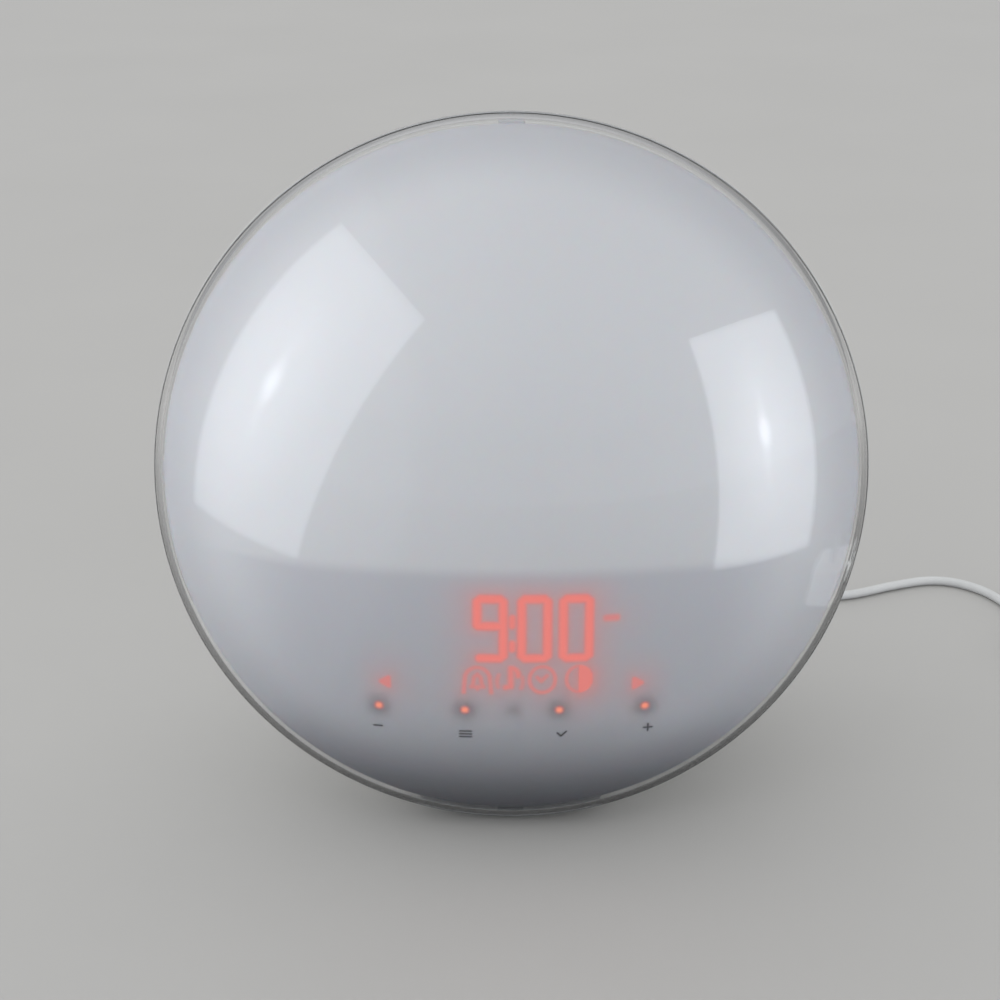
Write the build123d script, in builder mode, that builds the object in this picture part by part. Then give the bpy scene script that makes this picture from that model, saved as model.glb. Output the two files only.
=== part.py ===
from build123d import *

import os
from math import asin, cos, degrees, hypot, pi, radians, sin, sqrt, tan

# A sunrise alarm clock: a round lamp with a clear domed front over a milky diffuser, an LED
# engine, a display behind the lower part of the dome, four touch keys, and a rear housing
# with four side keys, a loudspeaker and a low-voltage supply. Millimetres and degrees.
# Origin: middle of the footprint, on the surface it stands on. +Z is up and the face looks
# along -Y. In the face frame, X runs to the right, Y up the face and W out of the face.

# ---- Driving dimensions ----
# whole lamp
lean = 12.0  # how far the face leans back
overall_depth = 112.0
rim_radius = 95.0
running_gap = 0.3  # between pieces that move past each other
seat_gap = 0.1  # between pieces that drop into each other
overcut = 1.0  # how far a cut runs on beyond the surface it opens

# clear front cover
cover_height = 42.0
cover_edge = 9.0
cover_wall = 1.8
skirt_depth = 9.0
clip_angles = (-18.0, 90.0, 180.0, 270.0)
clip_width = 7.0
clip_thickness = 1.4

# milky diffuser
air_gap = 1.5  # between the cover and the diffuser
diffuser_wall = 2.0
diffuser_skirt = 5.0

# front foot, a strip under the rim
foot_thickness = 1.0
foot_chord = 50.0
foot_front = 1.5
foot_width = 6.0

# rear housing
housing_wall = 2.4
flange_inset = 0.5  # from the diffuser's outside
flange_thickness = 2.4
lip_height = 2.5
lip_width = 2.2
dish_inset = 2.7  # from the flange's outside
dish_depth = 27.0
dish_edge = 14.0
drum_inset = 16.5  # from the dish's outside
drum_drop = 17.0
drum_start = 12.0
back_round = 10.0
pad_thickness = 1.5
plinth_height = 22.0
plinth_front_half = 28.0
plinth_back_half = 50.0
plinth_corner = 8.0
plinth_front_reach = 3.0  # ahead of the rim's centre
plinth_back_inset = 7.0  # from the upright back
vent_count = 9
vent_pitch = 6.0
vent_width = 2.0
vent_length = 22.0
vent_station = 40.0

# rear pads and rating plate
pad_radius = 6.0
pad_side_inset = 12.0
pad_back_inset = 10.0
plate_size = (36.0, 18.0, 0.4)
plate_place = (-28.0, 27.0)

# light engine
reflector_wall = 1.6
reflector_floor = 16.0  # depth of the floor's back behind the rim plane
reflector_floor_inset = 29.2  # from the reflector's outside
reflector_rim_width = 5.2
led_board_inset = 28.0  # from the edge of the reflector's floor
led_board_rise = 16.0
led_board_thickness = 1.6
led_size = (3.0, 3.0, 0.8)
led_ring_radii = (11.0, 20.5)
led_ring_counts = (6, 12)
sink_margin = 3.0  # beyond the board
sink_boss_inset = 4.5
sink_plate = 3.0
fin_depth = 8.0
fin_thickness = 2.0
fin_pitch = 8.0
baffle_inset = 74.0  # above the rim's lowest point
baffle_side_inset = 27.2  # from the reflector's outside
baffle_gap = 2.5  # to the diffuser

# display behind the lower dome
display_inset = 54.0  # above the rim's lowest point
display_turn = 6.0  # the display's own lean, less than the face's
display_half = 47.0
display_top_gap = 0.5  # below the baffle
display_height = 45.5
display_wall = 1.8
display_gap = 1.5  # to the diffuser
well_block = (60.0, 29.0)
well_block_drop = 1.0
digit_width = 8.2
digit_height = 16.4
digit_stroke = 1.8
digit_gap = 0.4  # between neighbouring bars
digit_pitch = 10.9
digit_rise = 5.3
first_digit = -16.2
colon_spread = 3.9
colon_radius = 0.9
icon_row = (-8.4, -0.4, 8.1, 17.6)
icon_drop = 8.9
icon_radius = 2.6
mark_place = (25.4, 8.7)
mark_size = (4.0, 1.4)
arrow_place = (32.4, 11.7)
arrow_radius = 2.4
insert_thickness = 1.5
display_board_size = (88.0, 37.6, 1.6)
display_board_drop = 5.1
display_board_margin = 0.4
display_led_size = (1.6, 0.8, 0.6)
touch_row = (-34.6, -11.9, 12.9, 35.0)
touch_drop = 18.9
touch_outer = 3.6
touch_inner = 1.9
touch_clearance = 0.5
lamp_radius = 1.2
lamp_gap = 0.8
sensor_place = (0.5, 18.4)
sensor_radius = 1.4

# main board
board_thickness = 1.6
board_side_inset = 28.0  # from the drum's outside
board_top = -8.0
board_foot_inset = 23.0  # from the drum's outside
board_depth = 34.0  # its front face behind the rim plane
post_radius = 3.5
post_inset = 5.0
ribbon_width = 14.0
ribbon_thickness = 0.8
ribbon_below_display = 4.0
ribbon_clearance = 2.0
# side of the board (0 is its middle) with the distance from it, rise above the board's lower
# edge, radius and height
capacitor_places = (
    (-1, 12.0, 12.0, 5.0, 12.0),
    (-1, 24.0, 10.0, 4.0, 11.0),
    (0, 30.0, 14.0, 4.0, 9.0),
)
# distance from the middle, drop from the board's upper edge, width, length and height
chip_places = (
    (2.0, 30.0, 12.0, 12.0, 1.6),
    (24.0, 22.0, 6.0, 5.0, 1.5),
    (-24.0, 24.0, 8.0, 8.0, 4.5),
    (-26.0, 10.0, 6.0, 5.0, 1.5),
)
backup_place = (14.0, 10.0)  # from the middle, and above the board's lower edge
backup_size = (5.5, 5.0)
connector_row = (-12.0, 2.0, 22.0)
connector_drop = 5.0
connector_size = (8.0, 4.5, 4.5)

# screws
screw_shank = 1.25
screw_head = 2.3
screw_head_height = 1.6
screw_length = 5.0
screw_clearance = 0.1
long_screw_shank = 1.5
long_screw_head = 2.8
long_screw_head_height = 2.0
long_screw_angles = (35.0, 90.0, 145.0)
long_screw_inset = 12.2  # from the reflector's outside
long_boss_radius = 4.6
long_boss_front = 11.0
long_boss_floor = 3.0
long_screw_bite = 4.5

# loudspeaker
speaker_height = 72.0
speaker_standoff = 3.0
speaker_flange = 58.0
speaker_corner = 6.0
speaker_screw_inset = 4.5
basket_wall = 1.2
basket_mouth = 23.0
basket_floor_radius = 17.0
basket_depth = 13.0
gasket_width = 3.5
surround_width = 4.0
surround_thickness = 0.5
cone_depth = 6.5
cone_thickness = 0.5
coil_radius = 7.2
coil_wall = 0.4
coil_length = 7.0
coil_gap = 0.7
winding_wall = 0.3
winding_length = 2.5
cap_radius = 9.0
cap_rise = 2.6
magnet_radius = 16.0
magnet_depth = 7.0
pole_plate = 2.0
grille_radius = 31.0
grille_thickness = 1.2
grille_opening_inset = 4.0
grille_rings = 6
grille_hole = 0.9
grille_pitch = 4.0

# side keys
key_station = 37.0  # behind the rim plane
key_length = 18.0
key_width = 16.0
key_corner = 3.0
key_rise = 12.0
key_proud = 1.2
key_flange = 1.5
key_flange_thickness = 1.2
key_stub_radius = 2.5
stub_sink = 0.2
key_travel = 0.6
key_board_inset = 16.0  # its outer face, from the drum's outside
key_board_width = 20.0
key_board_thickness = 1.6
key_board_margin = 3.5  # beyond a post's middle
key_post_radius = 2.8
key_post_gap = 1.2  # to a key's flange
switch_size = (6.0, 3.5)
plunger_radius = 1.7
plunger_proud = 1.1
plunger_depth = 1.3

# supply socket and plug
jack_place = (34.0, 24.0)
jack_radius = 6.0
jack_length = 12.0
jack_flange = (7.5, 1.5)
jack_neck = 4.6
jack_bore = 2.8
jack_pin = 1.0
jack_bore_depth = 10.0
barrel_length = 9.5
plug_grip_radius = 4.8
plug_grip_length = 16.0
plug_grip_round = 1.2
relief_length = 12.0
relief_thick = 3.0
relief_thin = 2.0
relief_grooves = 3
relief_groove = 1.0
relief_core = 1.8  # inside the grooves

# cord
cord_diameter = 2.9
cord_lift = 0.05  # the cord's underside above the surface
coil_place = (186.0, 72.0)
wound_inner = 10.2
wound_outer = 21.8
wound_height = 8.7
tie_thickness = 0.7
tie_width = 5.0
tie_angle = 40.0

# mains adapter, lying on its back
adapter_size = (38.0, 58.0, 24.0)
adapter_corner = 6.0
adapter_edge = 2.0
adapter_cover = 4.0
adapter_place = (203.0, -23.0)
adapter_exit = 4.5  # height of the cord's exit
adapter_exit_shift = 9.0
adapter_relief_length = 14.0
pin_radius = 2.0
pin_length = 19.0
pin_spacing = 18.6
pin_inset = 16.0

# ---- Worked out from the driving dimensions ----
sin_lean = sin(radians(lean))
cos_lean = cos(radians(lean))


def crown_radius(radius, height, edge):
    """Radius of a dome's crown that runs smoothly into its rolled edge."""
    return ((radius - edge) ** 2 + height**2 - edge**2) / (2 * (height - edge))


cover_crown = crown_radius(rim_radius, cover_height, cover_edge)
front_reach = cover_crown - (cover_crown - cover_height) * cos_lean
rim_y = front_reach - overall_depth / 2
rim_z = (rim_radius + foot_thickness) * cos_lean + (foot_front + foot_width) * sin_lean
back_y = overall_depth / 2

FACE = Plane(origin=(0, rim_y, rim_z), x_dir=(1, 0, 0), z_dir=(0, -cos_lean, sin_lean))
SECTION = Plane(origin=FACE.origin, x_dir=FACE.x_dir, z_dir=-FACE.y_dir)
FACE_AXIS = Axis(FACE.origin, FACE.z_dir)

diffuser_radius = rim_radius - cover_wall - air_gap
flange_radius = diffuser_radius - flange_inset
dish_radius = flange_radius - dish_inset
drum_radius = dish_radius - drum_inset
drum_length = overall_depth
lip_radius = diffuser_radius - diffuser_wall - running_gap
flange_back = diffuser_skirt + flange_thickness
base_z = pad_thickness
plinth_front = rim_y - plinth_front_reach
plinth_back = back_y - plinth_back_inset
lip_front = diffuser_skirt - lip_height
reflector_radius = lip_radius - seat_gap * 2
reflector_inner_rim = reflector_radius - reflector_rim_width
reflector_floor_radius = reflector_radius - reflector_floor_inset
long_screw_circle = reflector_radius - long_screw_inset
led_board_radius = reflector_floor_radius - led_board_inset
baffle_drop = rim_radius - baffle_inset
baffle_half = reflector_radius - baffle_side_inset
display_drop = rim_radius - display_inset
ribbon_drop = display_drop + ribbon_below_display
floor_front = reflector_floor - reflector_wall
display_top = -(baffle_drop + reflector_wall + display_top_gap)
board_half = drum_radius - board_side_inset
board_bottom = board_foot_inset - drum_drop - drum_radius
board_centre = (board_top + board_bottom) / 2
board_back = board_depth + board_thickness
wall_inside_y = back_y - housing_wall
flange_rear = speaker_standoff + basket_wall
led_screw_place = led_board_radius - sink_boss_inset - 2 * screw_shank
key_board_place = drum_radius - key_board_inset
key_post_rise = key_rise + key_width / 2 + key_flange + key_post_gap + key_post_radius
key_board_length = 2 * (key_post_rise + key_board_margin)

BACK_SECTION = Plane(
    origin=FACE.from_local_coords((0, 0, -flange_back)), x_dir=FACE.x_dir, z_dir=FACE.y_dir
)
SPEAKER = Plane(origin=(0, wall_inside_y, speaker_height), x_dir=(1, 0, 0), z_dir=(0, -1, 0))
SPEAKER_SECTION = Plane(origin=SPEAKER.origin, x_dir=SPEAKER.x_dir, z_dir=-SPEAKER.y_dir)
SPEAKER_AXIS = Axis(SPEAKER.origin, SPEAKER.z_dir)

# The display leans a little less than the face and starts at the diffuser's inner surface.
dome_middle = FACE.from_local_coords((0, 0, cover_height - cover_crown))
display_tilt = radians(lean - display_turn)
display_front_radius = cover_crown - cover_wall - air_gap - diffuser_wall - display_gap
display_level = cover_height - cover_crown + sqrt(display_front_radius**2 - display_drop**2)
DISPLAY = Plane(
    origin=FACE.from_local_coords((0, -display_drop, display_level)),
    x_dir=(1, 0, 0),
    z_dir=(0, -cos(display_tilt), sin(display_tilt)),
)
display_middle = DISPLAY.to_local_coords(dome_middle)
display_low = display_board_drop + display_board_size[1] / 2
display_corner = hypot(display_board_size[0] / 2, display_low + display_middle.Y)
display_board_front = display_board_margin - (
    display_middle.Z + sqrt((display_front_radius - display_wall) ** 2 - display_corner**2)
)
display_board_back = display_board_front + display_board_size[2]


def dome_section(plane, radius, height, edge, drop):
    """Half section of a filled dome: crown arc, rolled edge and straight skirt."""
    crown = crown_radius(radius, height, edge)
    turn = degrees(asin((radius - edge) / (crown - edge)))
    with BuildSketch(plane) as section:
        with BuildLine():
            crown_arc = JernArc((0, height), (1, 0), crown, -turn)
            edge_arc = JernArc(crown_arc @ 1, crown_arc % 1, edge, turn - 90)
            Polyline(edge_arc @ 1, (radius, -drop), (0, -drop), (0, height))
        make_face()
    return section.sketch


def ring_section(plane, inner, outer, low, high):
    """Half section of a plain ring."""
    with BuildSketch(plane) as section:
        with BuildLine():
            Polyline((inner, low), (outer, low), (outer, high), (inner, high), close=True)
        make_face()
    return section.sketch


def ring(plane, axis, inner, outer, low, high):
    """A plain ring or, with no inner radius, a disc."""
    with BuildPart() as made:
        add(ring_section(plane, inner, outer, low, high))
        revolve(axis=axis)
    return made.part


def dome_layer(inset, drop):
    """The filled dome that lies inset inside the front cover's outer surface."""
    with BuildPart() as made:
        add(
            dome_section(
                SECTION, rim_radius - inset, cover_height - inset, cover_edge - inset, drop
            )
        )
        revolve(axis=FACE_AXIS)
    return made.part


def chamber(gap):
    """The space between the reflector and the diffuser, gap short of the diffuser."""
    top = -(lip_front - reflector_wall)
    with BuildPart() as made:
        add(dome_layer(cover_wall + air_gap + diffuser_wall + gap, -top))
        with BuildSketch(SECTION):
            with BuildLine():
                Polyline(
                    (0, top),
                    (reflector_inner_rim, top),
                    (reflector_floor_radius, -floor_front),
                    (0, -floor_front),
                    close=True,
                )
            make_face()
        revolve(axis=FACE_AXIS)
    return made.part


def drum_form(inset):
    """The rear drum: a leaning cylinder with an upright, rounded back and a level base."""
    with BuildPart() as made:
        with BuildSketch(FACE.offset(-drum_start)):
            with Locations((0, -drum_drop)):
                Circle(drum_radius - inset)
        extrude(amount=-drum_length)
        upright = Plane(origin=(0, back_y - inset, 0), x_dir=(1, 0, 0), z_dir=(0, 1, 0))
        split(bisect_by=upright, keep=Keep.BOTTOM)
        fillet(made.faces().sort_by(Axis.Y)[-1].edges(), back_round - inset)
        split(bisect_by=Plane.XY.offset(base_z + inset), keep=Keep.TOP)
    return made.part


def plinth_form(inset):
    """The foot under the drum, narrow behind the rim and wide at the back."""
    low, high = plinth_front + inset, plinth_back - inset
    front, back = plinth_front_half - inset, plinth_back_half - inset
    with BuildPart() as made:
        with BuildSketch(Plane.XY.offset(base_z + inset)) as footprint:
            with BuildLine():
                Polyline((-front, low), (front, low), (back, high), (-back, high), close=True)
            make_face()
            fillet(footprint.vertices(), plinth_corner - inset)
        extrude(amount=plinth_height - 2 * inset)
    return made.part


def dish_form(inset):
    """The shallow dish behind the diffuser."""
    with BuildPart() as made:
        add(
            dome_section(
                BACK_SECTION, dish_radius - inset, dish_depth - inset, dish_edge - inset, inset + overcut
            )
        )
        revolve(axis=FACE_AXIS)
        split(bisect_by=FACE.offset(-flange_back), keep=Keep.BOTTOM)
    return made.part


def side_plane(side):
    """Plane across one side of the drum, level with its axis; its normal points outwards."""
    return Plane(
        origin=FACE.from_local_coords((0, -drum_drop, -key_station)),
        x_dir=FACE.z_dir * -side,
        z_dir=(side, 0, 0),
    )


def drum_core(radius):
    """A plain cylinder on the drum's axis."""
    with BuildPart() as made:
        with BuildSketch(FACE):
            with Locations((0, -drum_drop)):
                Circle(radius)
        extrude(amount=-drum_length)
    return made.part


def screw(plane, shank, length, head, head_height):
    """A pan-head screw that lies in a plane's origin and drives along its normal."""
    with BuildPart() as made:
        with BuildSketch(plane):
            Circle(shank)
        extrude(amount=length)
        with BuildSketch(plane):
            Circle(head)
        extrude(amount=-head_height)
        fillet(made.faces().sort_by(Axis(plane.origin, plane.z_dir))[0].edges(), head_height / 3)
        with BuildSketch(plane.offset(-head_height)):
            Rectangle(head * 1.1, head * 0.22)
            Rectangle(head * 0.22, head * 1.1)
        extrude(amount=head_height / 2, mode=Mode.SUBTRACT)
    return made.part


def small_screw(plane):
    """The screw that holds the boards, the heat sink and the loudspeaker."""
    return screw(plane, screw_shank, screw_length, screw_head, screw_head_height)


def keep(piece, name):
    """Name a finished piece and write its file."""
    piece.part.label = name
    export_step(piece.part, f"parts/{name}.step")


def place(plane, x, y, z=0.0):
    """The plane again, with its origin moved within its own frame."""
    return Plane(origin=plane.from_local_coords((x, y, z)), x_dir=plane.x_dir, z_dir=plane.z_dir)


def turned(plane):
    """The plane again, looking the other way."""
    return Plane(origin=plane.origin, x_dir=plane.x_dir, z_dir=-plane.z_dir)


os.makedirs("parts", exist_ok=True)

# ---- Clear front cover: dome, skirt, and clips that catch behind the housing's flange ----
with BuildPart() as front_cover:
    add(dome_layer(0, skirt_depth))
    add(dome_layer(cover_wall, skirt_depth + overcut), mode=Mode.SUBTRACT)
    hook_reach = flange_radius - dish_inset / 2
    for angle in clip_angles:
        with BuildSketch(FACE.offset(-skirt_depth)):
            with PolarLocations((hook_reach + rim_radius - cover_wall / 2) / 2, 1, angle):
                Rectangle(rim_radius - cover_wall / 2 - hook_reach, clip_width)
        extrude(amount=clip_thickness)
keep(front_cover, "front_cover")

# ---- Milky diffuser, with a lug at each clip that the cover's shoulder rests on ----
with BuildPart() as diffuser:
    add(dome_layer(cover_wall + air_gap, diffuser_skirt))
    diffuser_inside = cover_wall + air_gap + diffuser_wall
    add(dome_layer(diffuser_inside, diffuser_skirt + overcut), mode=Mode.SUBTRACT)
    lug_reach = air_gap - seat_gap
    for angle in clip_angles:
        with BuildSketch(FACE.offset(-diffuser_skirt)):
            with PolarLocations(diffuser_radius + lug_reach / 2 - diffuser_wall / 4, 1, angle):
                Rectangle(lug_reach + diffuser_wall / 2, clip_width)
        extrude(amount=flange_thickness)
keep(diffuser, "diffuser")

# ---- Front foot: a thin strip bonded under the rim ----
foot_half_angle = degrees(asin(foot_chord / 2 / rim_radius))
with BuildPart() as front_foot:
    with BuildSketch(FACE.offset(-foot_front)):
        with BuildLine():
            inner = CenterArc((0, 0), rim_radius, 270 - foot_half_angle, 2 * foot_half_angle)
            outer_arc = CenterArc(
                (0, 0), rim_radius + foot_thickness, 270 - foot_half_angle, 2 * foot_half_angle
            )
            Line(inner @ 0, outer_arc @ 0)
            Line(inner @ 1, outer_arc @ 1)
        make_face()
    extrude(amount=-foot_width)
keep(front_foot, "front_foot")

# ---- Rear housing ----
key_window = (key_length + 2 * running_gap, key_width + 2 * running_gap)
jack_plane = Plane(
    origin=(jack_place[0], wall_inside_y, jack_place[1]), x_dir=(1, 0, 0), z_dir=(0, -1, 0)
)
speaker_screw_place = speaker_flange / 2 - speaker_screw_inset
with BuildPart() as rear_housing:
    add(dish_form(0))
    add(drum_form(0))
    add(plinth_form(0))
    add(dish_form(housing_wall), mode=Mode.SUBTRACT)
    add(drum_form(housing_wall), mode=Mode.SUBTRACT)
    add(plinth_form(housing_wall), mode=Mode.SUBTRACT)
    flange_inner = dish_radius - housing_wall
    add(ring(SECTION, FACE_AXIS, flange_inner, flange_radius, -flange_back, -diffuser_skirt))
    add(ring(SECTION, FACE_AXIS, lip_radius - lip_width, lip_radius, -flange_back, -lip_front))
    # bosses for the long screws: from the reflector's posts back to the dish
    for angle in long_screw_angles:
        with BuildSketch(FACE.offset(-long_boss_front)):
            with PolarLocations(long_screw_circle, 1, angle):
                Circle(long_boss_radius)
        extrude(amount=-(dish_depth + flange_back - long_boss_front))
    with BuildPart(mode=Mode.PRIVATE) as outside:
        add(dish_form(0))
        add(drum_form(0))
        add(plinth_form(0))
        add(ring(SECTION, FACE_AXIS, 0, flange_radius, -flange_back, -lip_front))
    add(outside.part, mode=Mode.INTERSECT)
    for angle in long_screw_angles:
        with BuildSketch(FACE.offset(-long_boss_front)):
            with PolarLocations(long_screw_circle, 1, angle):
                Circle(long_screw_shank + screw_clearance)
        extrude(amount=-dish_depth, mode=Mode.SUBTRACT)
        with BuildSketch(FACE.offset(-long_boss_front - long_boss_floor)):
            with PolarLocations(long_screw_circle, 1, angle):
                Circle(long_screw_head + running_gap)
        extrude(amount=-dish_depth, mode=Mode.SUBTRACT)
    # loudspeaker opening, grille recess and screw bosses
    with BuildSketch(SPEAKER):
        Circle(grille_radius - grille_opening_inset)
    extrude(amount=-2 * housing_wall, mode=Mode.SUBTRACT)
    with BuildSketch(SPEAKER.offset(grille_thickness - housing_wall)):
        Circle(grille_radius + seat_gap)
    extrude(amount=-housing_wall, mode=Mode.SUBTRACT)
    with BuildSketch(SPEAKER):
        with GridLocations(2 * speaker_screw_place, 2 * speaker_screw_place, 2, 2):
            Circle(screw_shank + housing_wall / 2)
    extrude(amount=speaker_standoff)
    with BuildSketch(SPEAKER.offset(speaker_standoff)):
        with GridLocations(2 * speaker_screw_place, 2 * speaker_screw_place, 2, 2):
            Circle(screw_shank + screw_clearance)
    extrude(amount=basket_wall - screw_length - screw_clearance, mode=Mode.SUBTRACT)
    # supply socket's hole
    with BuildSketch(jack_plane):
        Circle(jack_neck + seat_gap)
    extrude(amount=-2 * housing_wall, mode=Mode.SUBTRACT)
    # side key windows and the posts of the key boards
    for side in (1, -1):
        with BuildSketch(side_plane(side).offset(drum_radius - 2 * key_corner - housing_wall)):
            with Locations((0, key_rise), (0, -key_rise)):
                RectangleRounded(*key_window, key_corner + running_gap)
        extrude(amount=drum_inset, mode=Mode.SUBTRACT)
        with BuildPart(mode=Mode.PRIVATE) as posts:
            with BuildSketch(side_plane(side).offset(key_board_place)):
                with Locations((0, key_post_rise), (0, -key_post_rise)):
                    Circle(key_post_radius)
            extrude(amount=drum_radius - key_board_place)
            add(drum_core(drum_radius - housing_wall / 2), mode=Mode.INTERSECT)
        add(posts.part)
        with BuildSketch(side_plane(side).offset(key_board_place)):
            with Locations((0, key_post_rise), (0, -key_post_rise)):
                Circle(screw_shank + screw_clearance)
        extrude(amount=screw_length, mode=Mode.SUBTRACT)
    # air vents along the top of the drum and under the plinth
    with BuildSketch(place(FACE, 0, drum_radius - drum_drop, -vent_station)):
        with GridLocations(vent_pitch, 1, vent_count, 1):
            Rectangle(vent_width, 4 * housing_wall)
    extrude(amount=vent_length / 2, both=True, mode=Mode.SUBTRACT)
    with BuildSketch(Plane.XY.offset(base_z)):
        with Locations((0, (plinth_front + plinth_back) / 2)):
            with GridLocations(vent_pitch, 1, vent_count, 1):
                SlotOverall(vent_length, vent_width, rotation=90)
    extrude(amount=housing_wall, mode=Mode.SUBTRACT)
keep(rear_housing, "rear_housing")

# ---- Rear pads and the bare rating plate ----
with BuildPart() as rear_feet:
    with BuildSketch(Plane.XY):
        pad_y = plinth_back - pad_back_inset
        with Locations((0, pad_y)):
            with GridLocations(2 * (plinth_back_half - pad_side_inset), 1, 2, 1):
                Circle(pad_radius)
    extrude(amount=pad_thickness)
    chamfer(rear_feet.edges().group_by(Axis.Z)[0], pad_thickness / 4)
keep(rear_feet, "rear_feet")

with BuildPart() as rating_plate:
    plate_plane = Plane(
        origin=(plate_place[0], back_y, plate_place[1]), x_dir=(-1, 0, 0), z_dir=(0, 1, 0)
    )
    with BuildSketch(plate_plane):
        RectangleRounded(plate_size[0], plate_size[1], plate_size[1] / 9)
    extrude(amount=plate_size[2])
keep(rating_plate, "rating_plate")

# ---- Loudspeaker grille: a perforated disc in the recess of the back ----
with BuildPart() as speaker_grille:
    with BuildSketch(SPEAKER.offset(grille_thickness - housing_wall)):
        Circle(grille_radius)
        for n in range(1, grille_rings + 1):
            with PolarLocations(n * grille_pitch, 6 * n):
                Circle(grille_hole, mode=Mode.SUBTRACT)
        Circle(grille_hole, mode=Mode.SUBTRACT)
    extrude(amount=-grille_thickness)
keep(speaker_grille, "speaker_grille")

# ---- Reflector: a white pan that carries the light engine, the display and the main board ----
post_places = [
    (x, y)
    for x in (-(board_half - post_inset), board_half - post_inset)
    for y in (board_bottom + post_inset, board_top - post_inset)
]
with BuildPart() as reflector:
    with BuildSketch(SECTION):
        with BuildLine():
            Polyline(
                (reflector_radius, -(lip_front - reflector_wall)),
                (reflector_inner_rim, -(lip_front - reflector_wall)),
                (reflector_floor_radius, -floor_front),
                (0, -floor_front),
                (0, -reflector_floor),
                (reflector_floor_radius + reflector_wall / 2, -reflector_floor),
                (reflector_inner_rim + reflector_wall / 2, -lip_front),
                (reflector_radius, -lip_front),
                close=True,
            )
        make_face()
    revolve(axis=FACE_AXIS)
    with BuildPart(mode=Mode.PRIVATE) as posts:
        with BuildSketch(FACE.offset(-board_depth)):
            with Locations(*post_places):
                Circle(post_radius)
        extrude(amount=board_depth)
        for angle in long_screw_angles:
            with BuildSketch(FACE.offset(-long_boss_front)):
                with PolarLocations(long_screw_circle, 1, angle):
                    Circle(long_boss_radius)
            extrude(amount=long_boss_front)
        with BuildSketch(SECTION):
            with BuildLine():
                Polyline(
                    (0, overcut),
                    (reflector_radius, overcut),
                    (reflector_radius, -(lip_front - reflector_wall)),
                    (reflector_inner_rim, -(lip_front - reflector_wall)),
                    (reflector_floor_radius, -floor_front),
                    (0, -floor_front),
                    close=True,
                )
            make_face()
        revolve(axis=FACE_AXIS, mode=Mode.SUBTRACT)
    add(posts.part)
    for angle in long_screw_angles:
        with BuildSketch(FACE.offset(-long_boss_front)):
            with PolarLocations(long_screw_circle, 1, angle):
                Circle(long_screw_shank + screw_clearance)
        extrude(amount=long_screw_bite + running_gap, mode=Mode.SUBTRACT)
    with BuildSketch(FACE.offset(-board_depth)):
        with Locations(*post_places):
            Circle(screw_shank + screw_clearance)
    extrude(amount=screw_length, mode=Mode.SUBTRACT)
    with BuildSketch(FACE.offset(-reflector_floor)):
        with Locations((0, led_board_rise)):
            Circle(led_board_radius - sink_boss_inset + seat_gap)
        with Locations((0, -ribbon_drop)):
            Rectangle(ribbon_width + ribbon_clearance, ribbon_thickness + ribbon_clearance)
    extrude(amount=reflector_wall, mode=Mode.SUBTRACT)
keep(reflector, "reflector")

# ---- Light baffle: a shelf that keeps the lamp's light out of the display ----
with BuildPart() as light_baffle:
    with BuildSketch(FACE.offset(-floor_front)):
        with Locations((0, -(baffle_drop + reflector_wall / 2))):
            Rectangle(2 * baffle_half, reflector_wall)
    extrude(amount=floor_front + cover_height)
    add(chamber(baffle_gap), mode=Mode.INTERSECT)
keep(light_baffle, "light_baffle")

# ---- LED board, its LEDs and the heat sink behind it ----
led_face = place(FACE, 0, led_board_rise, -floor_front)
with BuildPart() as led_board:
    with BuildSketch(led_face):
        Circle(led_board_radius)
        with PolarLocations(led_screw_place, 2):
            Circle(screw_shank + screw_clearance, mode=Mode.SUBTRACT)
    extrude(amount=led_board_thickness)
keep(led_board, "led_board")

with BuildPart() as leds:
    with BuildSketch(led_face.offset(led_board_thickness)):
        Rectangle(led_size[0], led_size[1])
        for radius, count in zip(led_ring_radii, led_ring_counts):
            with PolarLocations(radius, count, start_angle=90 / count):
                Rectangle(led_size[0], led_size[1])
    extrude(amount=led_size[2])
keep(leds, "leds")

with BuildPart() as heat_sink:
    sink_radius = led_board_radius + sink_margin
    with BuildSketch(led_face):
        Circle(led_board_radius - sink_boss_inset)
    extrude(amount=-reflector_wall - sink_plate / 2)
    with BuildSketch(led_face.offset(-reflector_wall)):
        Circle(sink_radius)
    extrude(amount=-sink_plate)
    with BuildSketch(led_face.offset(-reflector_wall - sink_plate)):
        fins = int((sink_radius - fin_thickness) / fin_pitch) * 2 + 1
        with GridLocations(fin_pitch, 1, fins, 1):
            Rectangle(fin_thickness, 2 * sink_radius)
        Circle(sink_radius, mode=Mode.INTERSECT)
    extrude(amount=-fin_depth)
    with BuildSketch(led_face):
        with PolarLocations(led_screw_place, 2):
            Circle(screw_shank + screw_clearance)
    extrude(amount=-screw_length, mode=Mode.SUBTRACT)
keep(heat_sink, "heat_sink")


# ---- Display ----
def segment_places():
    """Middle, length and turn of each bar of a seven-bar digit, about the digit's middle."""
    across = digit_width - digit_stroke
    half = digit_height / 2 - digit_stroke / 2
    bars = [(0, rise, across, 0) for rise in (half, 0, -half)]
    bars += [
        (side * across / 2, rise * half / 2, half, 90) for side in (-1, 1) for rise in (-1, 1)
    ]
    return bars


def bar(length, width):
    """A display bar with pointed ends."""
    end, side = length / 2, width / 2
    with BuildSketch() as made:
        with BuildLine():
            Polyline(
                (-end, 0), (side - end, side), (end - side, side),
                (end, 0), (end - side, -side), (side - end, -side), close=True,
            )
        make_face()
    return made.sketch


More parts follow.
